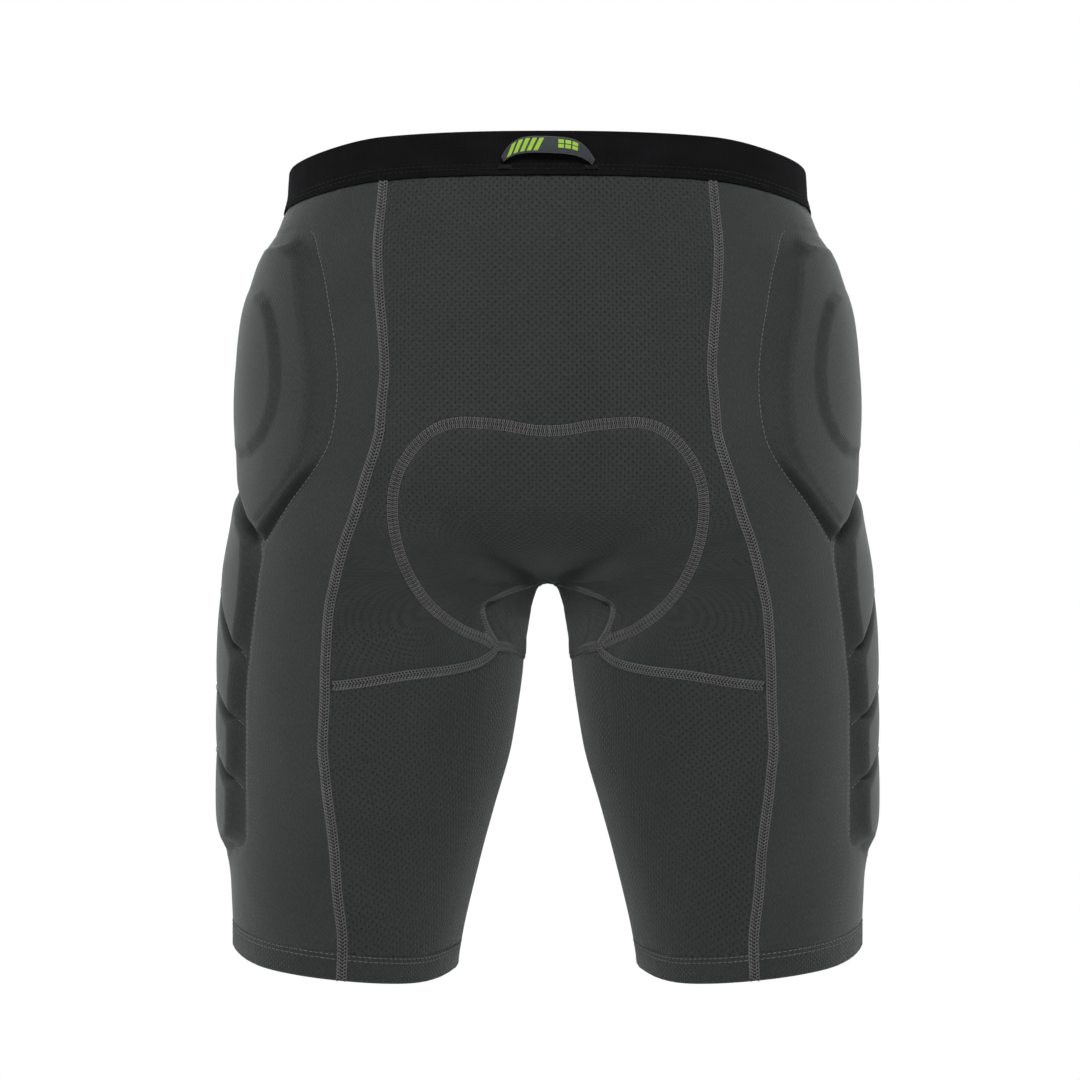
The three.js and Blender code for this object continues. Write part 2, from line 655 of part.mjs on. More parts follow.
// ---- hem bands and grippers ----
const HEM_STEPS = 36;
function hemPoint(i, depth, height) {
  const deg = (i / HEM_STEPS) * 360;
  const p = skinAt(deg, solveHeight(deg, 8, (q) => hemLine(q.x) + height));
  const outward = normalAt(p);
  outward.z = 0;
  p.addScaledVector(outward.normalize(), depth);
  p.z = hemLine(p.x) + height;
  return p;
}
function hemRings(name, profile, colour) {
  const ring = range(0, HEM_STEPS - 1).map((i) => profile.map(([d, h]) => hemPoint(i, d, h)));
  sweep(`${name}_left`, ring, true, colour);
  sweep(`${name}_right`, ring.map((section) => section.map(mirror)), true, colour);
}
hemRings("hem_band", rectangle(HEM_IN, HEM_OUT, 0, HEM_HEIGHT), COLOURS.mesh);
hemRings("hem_gripper", rectangle(GRIP_IN, GRIP_OUT, GRIP_LOW, GRIP_HIGH), COLOURS.grip);

// ---- flatlock seams ----
function sideSeam(side) {
  const top = bandLow(skinAt(side * seamDeg(452), 452).y) - 1.2;
  const low = hemLine(skinAt(side * 92, 4).x) + 0.6;
  return sample(26, (t) => {
    const z = lerp(top, low, t);
    return skinAt(side * seamDeg(z), z);
  });
}
function thighSeam(side) {
  return sample(10, (t) => {
    const deg = lerp(seamDeg(PANEL_LOW) + 3, 133.5, t);
    return skinAt(side * deg, thighTop(deg));
  });
}
function inseam() {
  const top = thighTop(360 - INSEAM_DEG) - 4;
  const low = hemLine(60) + 1;
  return sample(12, (t) => skinAt(INSEAM_DEG, lerp(top, low, t)));
}
// The gusset seams ride higher than the others; lifts move their lower and upper faces.
function gussetSeam(name, side, lowLift, highLift) {
  const points = crotchPoints(side, 14, 13);
  thread(name, points, GUSSET_SEAM_WIDTH, SEAM_LOW + lowLift, SEAM_HIGH + highLift);
}
threadPair("seam_back", sideSeam(BACK), SEAM_WIDTH);
threadPair("seam_front", sideSeam(FRONT), SEAM_WIDTH);
threadPair("seam_rear_thigh", thighSeam(BACK), SEAM_WIDTH);
threadPair("seam_front_thigh", thighSeam(FRONT), SEAM_WIDTH);
threadPair("seam_inseam", inseam(), NARROW_SEAM_WIDTH);
gussetSeam("seam_gusset_back", BACK, 3.7, 3.7);
gussetSeam("seam_gusset_front", FRONT, 1.9, 1.8);

// ---- seat pad: base, two foam inserts and a coverstitch ----
// Left half of the pad outline, [x, z], from the top at the mid plane round to the bottom.
const KIDNEY = [
  [0, 312.5], [12, 314.2], [25, 317], [38.3, 318.1], [49.3, 318.7], [60.4, 316],
  [69.8, 309.5], [79.3, 298.1], [85, 285.5], [86.6, 269.5], [84.7, 254.6], [80, 239],
  [71.4, 223.3], [60.6, 211.4], [47, 201.9], [38, 198.5],
];
function seatPadBase() {
  const topMiddle = [0, 311];
  const innerCorner = [34.5, 201];
  const inner = walk([topMiddle, ...CROTCH_BACK.slice(0, 8), [33.2, 202]], 10);
  inner[10] = innerCorner;
  const edges = {
    top: walk([topMiddle, ...KIDNEY.slice(1, 6)], 6),
    bottom: walk([innerCorner, KIDNEY[14]], 6),
    inner,
    outer: walk(KIDNEY.slice(5, 15), 10),
  };
  const half = patch(edges, BACK, CHAMOIS_IN, CHAMOIS_OUT);
  sheet("seat_pad_base", [half, mirrorGrid(half)], COLOURS.chamois);
}
// An ellipse mapped from a square grid, thinned at the rim.
function seatPadFoam() {
  const grid = sample(6, (down) => sample(6, (across) => {
    const u = across * 2 - 1;
    const v = down * 2 - 1;
    const x = 42 + 28 * u * Math.sqrt(1 - (v * v) / 2);
    const z = 272 - 34 * v * Math.sqrt(1 - (u * u) / 2);
    const isRim = Math.max(Math.abs(u), Math.abs(v)) > 0.99;
    const inner = isRim ? SEAT_FOAM_OUT - SEAT_FOAM_RIM : SEAT_FOAM_IN;
    return spot(skinFrom(BACK, x, z), inner, SEAT_FOAM_OUT);
  }));
  sheetPair("seat_pad_foam", grid, COLOURS.chamoisFoam);
}
function seatPadCoverstitch() {
  const [middle, ...left] = walk(KIDNEY, 26).map(([x, z]) => skinFrom(BACK, x, z));
  const points = [...left.toReversed(), middle, ...left.map(mirror)];
  thread("seat_pad_coverstitch", points, NARROW_SEAM_WIDTH);
}
seatPadBase();
seatPadFoam();
seatPadCoverstitch();

// ---- hanger loop and its two bartacks ----
function hangerLoop() {
  const sections = sample(16, (s) => {
    const t = s * 2 - 1;
    const lift = 1 - t ** 4;
    const x = LOOP_HALF * t;
    const y = LOOP_PIVOT_Y + 3.2 * (1 - t * t);
    const low = LOOP_PIVOT_Z - 0.4 + 5.6 * lift;
    const high = low + 3 + 6 * lift;
    const lean = 0.8 * lift;
    return [
      new THREE.Vector3(x, y - LOOP_T, low),
      new THREE.Vector3(x, y + LOOP_T, low),
      new THREE.Vector3(x, y + LOOP_T + lean, high),
      new THREE.Vector3(x, y - LOOP_T + lean, high),
    ];
  });
  sweep("hanger_loop", sections, false, COLOURS.label);
}
function bartack(name, side) {
  const [w, h, r] = [3.6, 1.3, 1.1]; // half width, half height, corner radius
  const shape = new THREE.Shape();
  shape.moveTo(-w + r, -h);
  shape.lineTo(w - r, -h);
  shape.quadraticCurveTo(w, -h, w, -h + r);
  shape.lineTo(w, h - r);
  shape.quadraticCurveTo(w, h, w - r, h);
  shape.lineTo(-w + r, h);
  shape.quadraticCurveTo(-w, h, -w, h - r);
  shape.lineTo(-w, -h + r);
  shape.quadraticCurveTo(-w, -h, -w + r, -h);
  const options = { depth: 1.2, bevelEnabled: false, curveSegments: 3 };
  const geometry = new THREE.ExtrudeGeometry(shape, options);
  geometry.rotateX(-Math.PI / 2); // the outline faces +Y
  geometry.translate(side * (LOOP_HALF - 1), 106, LOOP_PIVOT_Z - 2.4);
  add(name, geometry, COLOURS.tack, 0.9);
}
hangerLoop();
bartack("loop_bartack_left", 1);
bartack("loop_bartack_right", -1);

// ---- frame: origin at the bottom centre of the whole ----
const box = new THREE.Box3().setFromObject(group);
const middleY = box.getCenter(new THREE.Vector3()).y;
for (const mesh of group.children) mesh.geometry.translate(0, -middleY, -box.min.z);

export default group;
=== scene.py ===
"""Padded stretch shorts, standing upright in an empty frame.

x runs across (the wearer's left is +x), +y is the back and z is up. Everything is drawn in
millimetres on a smooth body form, then settled, shifted into the frame and scaled to metres.
"""
import math
from functools import cached_property

import bmesh
import bpy
import numpy as np
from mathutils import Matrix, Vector


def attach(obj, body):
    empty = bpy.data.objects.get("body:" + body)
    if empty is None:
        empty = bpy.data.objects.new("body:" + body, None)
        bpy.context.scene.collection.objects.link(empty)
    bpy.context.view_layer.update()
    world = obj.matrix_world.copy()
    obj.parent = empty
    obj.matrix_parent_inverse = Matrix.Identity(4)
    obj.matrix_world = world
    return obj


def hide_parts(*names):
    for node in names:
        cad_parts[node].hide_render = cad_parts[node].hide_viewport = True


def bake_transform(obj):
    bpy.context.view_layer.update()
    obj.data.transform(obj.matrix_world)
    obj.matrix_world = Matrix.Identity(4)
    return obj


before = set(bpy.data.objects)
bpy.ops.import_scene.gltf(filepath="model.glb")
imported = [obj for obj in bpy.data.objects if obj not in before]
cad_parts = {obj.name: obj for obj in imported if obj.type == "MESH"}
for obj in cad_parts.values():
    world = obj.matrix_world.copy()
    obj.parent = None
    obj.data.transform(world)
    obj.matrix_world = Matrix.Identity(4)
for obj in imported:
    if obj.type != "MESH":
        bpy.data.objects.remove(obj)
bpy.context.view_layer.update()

# ------------------------------------------------------------------ shared dimensions, mm
MM = 0.001
FRAME_SHIFT = np.array([0, -12.78388, 0.07769])  # from the drawing to the frame
BACK, FRONT = 1, -1  # sign of y
SIDES = ((1, "left"), (-1, "right"))  # sign of x
SHEET = 0.6  # half thickness of the cloth
GAP = 0.12  # between a panel's edge and its seam line, in degrees
SEAM_LIFT = 0.75  # of seam threads over the skin
INSEAM = 200.0  # degrees round the leg
MELT = 6.0  # how softly the legs and the pelvis run together
FAR = 260.0  # beyond any point of the form
HEM_TOP = 15.3
HEM_ROWS = (11.9, 14.3)  # stitch rows, above the hem line
BAND_HEIGHT = 23.2  # where the top fold of the waistband starts
BAND_ROWS = (3.6, 6.0)  # stitch rows, above the lower edge of the waistband
ARC = 1.536  # arc length to the degree, in the plane where the pads are drawn


# ------------------------------------------------------------------ small helpers
def unit(vectors):
    return vectors / np.maximum(np.linalg.norm(vectors, axis=-1, keepdims=True), 1e-9)


def lerp(start, end, share):
    return start + (end - start) * share


def fade(value, start=0, end=1):
    """A smooth step from 0 at start to 1 at end."""
    share = np.clip((value - start) / (end - start), 0, 1)
    return share * share * (3 - 2 * share)


def bell(distance, width):
    return np.exp(-(distance / width) ** 2)


def mirrored(points, side):
    """Points on the left side, or their mirror image on the right."""
    return points * np.array([side, 1.0, 1.0])


def run_length(points):
    steps = np.linalg.norm(np.diff(points, axis=0), axis=1)
    return np.concatenate([[0], np.cumsum(steps)])


def resample(points, count, smooth=0):
    """count + 1 even points along a polyline, after rounds of corner cutting."""
    line = np.asarray(points, float)
    for _ in range(smooth):
        cut = np.empty((2 * len(line) - 2, line.shape[1]))
        cut[0::2] = 0.75 * line[:-1] + 0.25 * line[1:]
        cut[1::2] = 0.25 * line[:-1] + 0.75 * line[1:]
        line = np.concatenate([line[:1], cut, line[-1:]])
    length = run_length(line)
    even = np.linspace(0, length[-1], count + 1)
    return np.stack([np.interp(even, length, column) for column in line.T], -1)


def noise(across, down, size, seed):
    """Smooth value noise on a plane, about -1 to 1."""
    table = np.random.default_rng(seed).uniform(-1, 1, (64, 64))
    x, y = np.asarray(across) / size + 1000, np.asarray(down) / size + 1000
    i, j = np.floor(x).astype(int), np.floor(y).astype(int)
    part_x, part_y = fade(x - i), fade(y - j)

    def row(j):
        return table[i % 64, j % 64] * (1 - part_x) + table[(i + 1) % 64, j % 64] * part_x

    return row(j) * (1 - part_y) + row(j + 1) * part_y


def bisect(inside, low, high, rounds=26):
    """The crossing between low, which is inside, and high."""
    for _ in range(rounds):
        middle = (low + high) / 2
        within = inside(middle)
        low, high = np.where(within, middle, low), np.where(within, high, middle)
    return low


class Table:
    """A smooth curve through (z, value) stations, monotone between them."""

    def __init__(self, stations):
        self.x, self.y = np.array(sorted(stations), float).T
        step = np.diff(self.x)
        rise = np.diff(self.y) / step
        self.slope = np.zeros_like(self.y)
        self.slope[0], self.slope[-1] = rise[0], rise[-1]
        for i in range(1, len(step)):
            if rise[i - 1] * rise[i] > 0:
                before = 2 * step[i] + step[i - 1]
                after = step[i] + 2 * step[i - 1]
                total = before / rise[i - 1] + after / rise[i]
                self.slope[i] = (before + after) / total

    def __call__(self, value):
        value = np.clip(np.asarray(value, float), self.x[0], self.x[-1])
        i = np.clip(np.searchsorted(self.x, value) - 1, 0, len(self.x) - 2)
        step = self.x[i + 1] - self.x[i]
        part = (value - self.x[i]) / step
        square, cube = part * part, part * part * part
        return (
            (2 * cube - 3 * square + 1) * self.y[i]
            + (cube - 2 * square + part) * step * self.slope[i]
            + (-2 * cube + 3 * square) * self.y[i + 1]
            + (cube - square) * step * self.slope[i + 1]
        )


# ------------------------------------------------------------------ the body form
# Stations are (z, x) for the inner and outer side of the left leg and for the half width of
# the pelvis, and (z, y) for the backs and fronts.
leg_in = Table([
    (-30, 56), (5, 53.7), (23, 50.4), (59, 42), (95, 32.4), (131, 22.2), (164, 16.8),
    (194, 13.2), (212, 10.8), (230, 7.5), (250, 8), (280, 14), (340, 40)])
leg_out = Table([
    (-30, 187), (0, 187), (23, 187), (50, 188), (68, 189), (95, 189), (131, 189), (164, 189),
    (194, 188), (212, 187), (230, 185.5), (248, 183), (284, 172), (340, 150)])
leg_back = Table([
    (-30, 77), (0, 78), (23, 79), (59, 83), (95, 88), (131, 93), (164, 97), (190, 101),
    (212, 106), (234, 112), (260, 116), (290, 112), (340, 90)])
leg_front = Table([
    (-30, -74), (0, -74), (23, -75), (59, -80), (95, -86), (131, -92), (164, -97),
    (190, -101), (212, -104), (234, -106), (260, -104), (290, -96), (340, -70)])
pelvis_width = Table([
    (225, 60), (240, 120), (256, 160), (275, 176), (296, 179), (320, 176.5), (350, 174.5),
    (380, 172), (400, 169), (419, 165.5), (431, 163), (446, 160.5), (455, 158.5),
    (464, 156.8), (484, 156), (510, 156)])
pelvis_back = Table([
    (225, 0.1), (236, 30), (242, 62), (250, 88), (262, 108), (280, 124), (300, 131),
    (320, 133), (350, 131), (380, 125), (410, 117), (440, 108), (460, 104.5), (484, 104),
    (510, 104)])
pelvis_front = Table([
    (225, -0.1), (236, -18), (243, -40), (252, -60), (265, -80), (280, -94), (300, -103),
    (320, -107), (350, -109), (380, -108), (410, -106), (440, -103), (460, -101),
    (484, -100), (510, -100)])


def oval(x, y, power):
    """The superellipse radius of a point, 1 on the outline."""
    return (np.abs(x) ** power + np.abs(y) ** power + 1e-12) ** (1 / power)


def leg_field(x, y, z):
    inner, outer, back, front = leg_in(z), leg_out(z), leg_back(z), leg_front(z)
    half_x, half_y = (outer - inner) / 2, (back - front) / 2
    shift_x, shift_y = x - (inner + outer) / 2, y - (back + front) / 2
    return (oval(shift_x / half_x, shift_y / half_y, 2.15) - 1) * (half_x + half_y) / 2


def pelvis_field(x, y, z):
    half_x = pelvis_width(z)
    half_y = np.where(y > 0, pelvis_back(z), -pelvis_front(z))
    return (oval(x / half_x, y / half_y, 2.35) - 1) * np.minimum(half_x, half_y)


def field(x, y, z):
    """About the distance outside the form, negative inside it."""
    above = np.maximum(0, z - 320) * 0.6
    left, right = leg_field(x, y, z) + above, leg_field(-x, y, z) + above
    pelvis = pelvis_field(x, y, z) + np.maximum(0, 240 - z)
    least = np.minimum(np.minimum(left, right), pelvis)
    total = sum(np.exp((least - part) / MELT) for part in (left, right, pelvis))
    return least - MELT * np.log(total)


def gradient(points, step):
    x, y, z = np.moveaxis(points, -1, 0)
    slopes = np.stack([
        field(x + step, y, z) - field(x - step, y, z),
        field(x, y + step, z) - field(x, y - step, z),
        field(x, y, z + step) - field(x, y, z - step),
    ], -1) / (2 * step)
    slopes[..., 0] = np.where(np.abs(x) < 1e-6, 0, slopes[..., 0])
    return slopes


def normal(points, step=1.2):
    return unit(gradient(points, step))


def on_skin(points, rounds):
    """The points walked onto the skin."""
    for _ in range(rounds):
        slopes = gradient(points, 0.4)
        steep = np.maximum((slopes ** 2).sum(-1), 0.2)
        points = points - slopes * (field(*np.moveaxis(points, -1, 0)) / steep * 0.9)[..., None]
    return points


def centre(z):
    """The point that angles are measured round: the middle of the leg, then a fixed one."""
    high = fade(z, 230, 350)
    mid_x, mid_y = (leg_in(z) + leg_out(z)) / 2, (leg_back(z) + leg_front(z)) / 2
    return mid_x * (1 - high) + 88 * high, mid_y * (1 - high) + 8 * high


def skin(deg, z):
    """Skin points of the left half by angle: 0 is outwards, 90 the back, 180 inwards."""
    deg, z = np.broadcast_arrays(np.asarray(deg, float), np.asarray(z, float))
    mid_x, mid_y = centre(z)
    cos, sin = np.cos(np.radians(deg)), np.sin(np.radians(deg))
    reach = np.full(z.shape, FAR)
    # a ray that leaves the form before the plane x = 0 stops there
    inward = np.where(cos < -1e-6, cos, -1.0)
    open_middle = field(np.zeros(z.shape), mid_y - mid_x * sin / inward, z) > 0
    reach = np.where((cos < 0) & open_middle, np.minimum(reach, -mid_x / inward), reach)
    radius = bisect(
        lambda out: field(mid_x + out * cos, mid_y + out * sin, z) < 0, np.zeros(z.shape), reach)
    return np.stack([mid_x + radius * cos, mid_y + radius * sin, z], -1)


def face_on(x, z, face):
    """Skin points met when coming straight from the back or the front."""
    x, z = np.broadcast_arrays(np.asarray(x, float), np.asarray(z, float))
    y = np.full(x.shape, 175.0)
    done = np.zeros(x.shape, bool)
    for _ in range(120):
        done |= field(x, face * y, z) <= 0
        if done.all():
            break
        y = np.where(done, y, y - 2)
    y = bisect(lambda out: field(x, face * out, z) < 0, y, y + 2, rounds=22)
    return np.stack([x, face * y, z], -1)


def settle(points):
    """How the cloth hangs away from the form: the corners of the band drop and draw in, the
    crotch settles and the back of the hem sinks."""
    x, y, z = np.moveaxis(points, -1, 0)
    wide = np.abs(x)
    corner_drop = 4.5 * fade(wide, 95, 155) * fade(z, 425, 460)
    crotch = 1.5 * bell(x, 5.0) - 1.8 * bell(x, 12.0)
    crotch = crotch * fade(z, 214, 228) * fade(z, 266, 242)
    hem_drop = 3.6 * fade(y, 20, 68) * fade(wide, 38, 62) * fade(z, 62, 7)
    draw_in = 1 - 0.024 * fade(z, 415, 460)
    return np.stack([x * draw_in, y, z - corner_drop + crotch - hem_drop], -1)


# ------------------------------------------------------------------ pattern lines
# Stations are (z, degrees): the side seams, the pad outlines and the edges of their levels.
seam_deg = Table([
    (470, 85), (452, 85.2), (423, 85.4), (395, 86.5), (369, 88.1), (348, 88.9), (331, 88.4),
    (315, 88.2), (304, 87.1), (287, 84.6), (265, 82.1), (254.6, 80.7), (238, 79), (218, 77.1),
    (199, 76.7), (180, 76.5), (164, 76.6), (141, 76.4), (118.6, 78.5), (90, 82.9), (73, 85.3),
    (53, 87.5), (26, 91.2), (5, 92), (-10, 92)])
stitch_deg = Table([
    (470, 48), (451, 50), (427, 57.2), (406.6, 64.8), (383, 69.9), (360.6, 73.5),
    (338.6, 74.9), (320.7, 74.7), (309.6, 73.8), (293, 69), (276.4, 61.2), (256.8, 53.2),
    (248.3, 49.8), (237.5, 48.3), (220, 46.5), (200, 44.3), (183, 42.3), (162, 40.1),
    (133, 40), (104, 40.6), (82, 41.2), (60, 40.5), (0, 40)])
level_deg = Table([
    (470, 40), (451, 42), (422, 50.2), (383.5, 58.1), (354.6, 63.6), (332, 65), (304, 64.5),
    (279, 56.7), (262.5, 47.4), (251.7, 42.1), (220, 41), (206, 39), (161, 34.2),
    (103, 32.4), (60, 32), (0, 32)])
# (degrees, z) of the seam over the thigh panels
thigh_top = Table([
    (70, 172), (76.8, 172), (87.5, 173.8), (103.6, 178.2), (117.4, 180.5), (129.8, 184),
    (136.9, 189.7), (138.8, 193), (142, 192.6), (160, 188), (180, 185)])
# (x, z) of the gusset seams, from the middle to the thigh seam
CROTCH = {
    BACK: [(0, 231), (6, 230.6), (12, 229), (20, 226), (29, 222.6), (37, 218.6),
           (38.6, 214.4), (36, 204), (29.8, 193.6)],
    FRONT: [(0, 246), (6, 245.7), (12, 244.2), (18, 239.5), (24, 231.5), (30, 221.5),
            (34, 214), (33.4, 204), (29.8, 193.6)],
}
# (x, z) of the left half of the seat pad's outline, from the top middle
SEAT = np.array([
    (0, 313.6), (6, 313.7), (12, 314.5), (25, 317), (38.3, 318.1), (49.3, 318.7), (60.4, 316),
    (69.8, 309.5), (79.3, 298.1), (85, 285.5), (86.6, 269.5), (84.7, 254.6), (80, 239),
    (71.4, 223.3), (60.6, 211.4), (47, 201.9), (38, 198.5), (32.5, 194.5)])
SEAT_LINE = resample(SEAT, 90, smooth=2)


def band_low(y):
    """Lower edge of the waistband, higher at the back."""
    return 451 + 0.0625 * y


def hem_line(x):
    return 0.105 * (np.abs(x) - 54)


def fold_deg(deg):
    return np.where(deg > 180, 360 - deg, deg)


def crotch_line(face, count):
    return resample(resample(CROTCH[face], 60, smooth=2), count)


def crotch_points(face, count=60):
    line = crotch_line(face, count)
    return face_on(line[:, 0], line[:, 1], face)


# ------------------------------------------------------------------ meshes
def new_object(name, data):
    ob = bpy.data.objects.new(name, data)
    bpy.context.scene.collection.objects.link(ob)
    return ob


def new_mesh(name, points, quads, tris=()):
    """A smooth mesh in the frame, from points in millimetres."""
    data = bpy.data.meshes.new(name)
    placed = (settle(points) + FRAME_SHIFT) * MM
    data.vertices.add(len(placed))
    data.vertices.foreach_set("co", placed.astype(np.float32).ravel())
    corners = np.concatenate([np.ravel(quads), np.ravel(tris)]).astype(np.int32)
    data.loops.add(len(corners))
    data.loops.foreach_set("vertex_index", corners)
    sizes = np.repeat([4, 3], [len(quads), len(tris)])
    data.polygons.add(len(sizes))
    data.polygons.foreach_set("loop_start", (np.cumsum(sizes) - sizes).astype(np.int32))
    data.polygons.foreach_set("loop_total", sizes.astype(np.int32))
    data.update(calc_edges=True)
    data.validate()
    data.polygons.foreach_set("use_smooth", np.ones(len(data.polygons), bool))
    return data


def cloth_object(name, points, quads, uv=None, wear_and_shade=None):
    """An object with an optional UV map in millimetres and a value for worn cloth and painted
    shade, both by point.
    """
    data = new_mesh(name, points, quads)
    if uv is not None:
        layer = data.uv_layers.new(name="mm")
        corners = np.zeros(len(data.loops), np.int32)
        data.loops.foreach_get("vertex_index", corners)
        layer.data.foreach_set("uv", np.asarray(uv, np.float32)[corners].ravel())
    if wear_and_shade is not None:
        attribute = data.attributes.new("wear_and_shade", "FLOAT", "POINT")
        attribute.data.foreach_set("value", np.asarray(wear_and_shade, np.float32))
    return new_object(name, data)


def grid_faces(rows, cols, wrap=False):
    row = np.arange(rows - 1)[:, None] * cols
    col = np.arange(cols if wrap else cols - 1)[None, :]
    after = (col + 1) % cols
    corners = [row + col, row + after, row + cols + after, row + cols + col]
    return np.stack(corners, -1).reshape(-1, 4)


def edge_loop(rows, cols):
    top = np.arange(cols)
    right = np.arange(1, rows) * cols + cols - 1
    bottom = (rows - 1) * cols + np.arange(cols - 2, -1, -1)
    left = np.arange(rows - 2, 0, -1) * cols
    return np.concatenate([top, right, bottom, left])


def facing_out(points, faces):
    """The faces, turned over if their volume is negative. A triangle repeats its last corner."""
    first, second, third, fourth = np.moveaxis(points[faces] - points.mean(0), 1, 0)
    volume = (first * np.cross(second, third)).sum() + (first * np.cross(third, fourth)).sum()
    if volume >= 0:
        return faces
    triangle = (faces[:, 2] == faces[:, 3])[:, None]
    return np.where(triangle, faces[:, [0, 2, 1, 1]], faces[:, ::-1])


def coons(inner, outer, top, bottom):
    """A grid filled in between four edges; rows run from inner to outer."""
    across, down = np.meshgrid(np.linspace(0, 1, len(top)), np.linspace(0, 1, len(inner)))
    across, down = across[..., None], down[..., None]
    edges = (1 - across) * inner[:, None] + across * outer[:, None]
    edges = edges + (1 - down) * top[None] + down * bottom[None]
    return edges - (
        (1 - across) * (1 - down) * top[0] + across * (1 - down) * top[-1]
        + (1 - across) * down * bottom[0] + across * down * bottom[-1])


def arcs(grid, centre_col=0):
    """Arc lengths along the rows from a column, and down the columns from the first row."""
    rows, cols = grid.shape[:2]
    across = np.cumsum(np.linalg.norm(np.diff(grid, axis=1), axis=-1), axis=1)
    across = np.concatenate([np.zeros((rows, 1)), across], 1)
    down = np.cumsum(np.linalg.norm(np.diff(grid, axis=0), axis=-1), axis=0)
    down = np.concatenate([np.zeros((1, cols)), down], 0)
    return across - across[:, centre_col:centre_col + 1], down


def sheet_normals(grid, normals, middle_rows):
    """Normals of a raised grid. The first middle_rows points of column 0 lie on x = 0."""
    raised = unit(np.cross(np.gradient(grid, axis=1), np.gradient(grid, axis=0)))
    raised *= np.sign((raised * normals).sum(-1, keepdims=True) + 1e-12)
    raised[:middle_rows, 0, 0] = 0
    return unit(raised).reshape(-1, 3)


def sheet(name, points, normals, low, high, uv=None, wear_and_shade=None, middle_rows=None):
    """A closed sheet over a grid of skin points, between two heights above the skin.
    A half that meets its mirror image gives middle_rows, so that the shading runs on."""
    rows, cols = points.shape[:2]
    outer_grid = points + normals * np.broadcast_to(high, (rows, cols))[..., None]
    inner_grid = points + normals * np.broadcast_to(low, (rows, cols))[..., None]
    outer, inner = outer_grid.reshape(-1, 3), inner_grid.reshape(-1, 3)
    faces = grid_faces(rows, cols)
    loop = edge_loop(rows, cols)
    corner, along, down = (outer[faces[:, i]] for i in (0, 1, 3))
    outward = normals.reshape(-1, 3)[faces[:, 0]]
    if (np.cross(along - corner, down - corner) * outward).sum() < 0:
        faces, loop = faces[:, ::-1], loop[::-1]
    after = np.roll(loop, -1)
    # the rim is rounded with one middle row
    middle = (outer[loop] + inner[loop]) / 2
    count = rows * cols
    rim = 2 * count + np.arange(len(loop))
    rim_after = np.roll(rim, -1)
    all_faces = np.concatenate([
        faces, faces[:, ::-1] + count,
        np.stack([after, loop, rim, rim_after], -1),
        np.stack([rim_after, rim, count + loop, count + after], -1)])

    def on_all(values):
        if values is None:
            return None
        flat = values.reshape((count,) + values.shape[2:])
        return np.concatenate([flat, flat, flat[loop]])

    all_points = np.concatenate([outer, inner, middle])
    ob = cloth_object(name, all_points, all_faces, on_all(uv), on_all(wear_and_shade))
    if middle_rows is not None:
        raised = sheet_normals(outer_grid, normals, middle_rows)
        rim_out = unit(middle - (outer.mean(0) + inner.mean(0)) / 2)
        shading = np.concatenate([raised, -raised, rim_out])
        ob.data.normals_split_custom_set_from_vertices(shading.tolist())
    return ob


def sweep(name, sections, uv=None, wear_and_shade=None, wrap=True):
    """A ring, or a strip with closed ends, from sections of a closed profile."""
    count, size = sections.shape[:2]
    points = sections.reshape(-1, 3)
    faces = grid_faces(count + 1 if wrap else count, size, wrap=True) % (count * size)
    ob = cloth_object(name, points, facing_out(points, faces), uv, wear_and_shade)
    if not wrap:
        work = bmesh.new()
        work.from_mesh(ob.data)
        open_edges = [edge for edge in work.edges if edge.is_boundary]
        bmesh.ops.holes_fill(work, edges=open_edges, sides=0)
        bmesh.ops.recalc_face_normals(work, faces=work.faces)
        work.to_mesh(ob.data)
        work.free()
    return ob


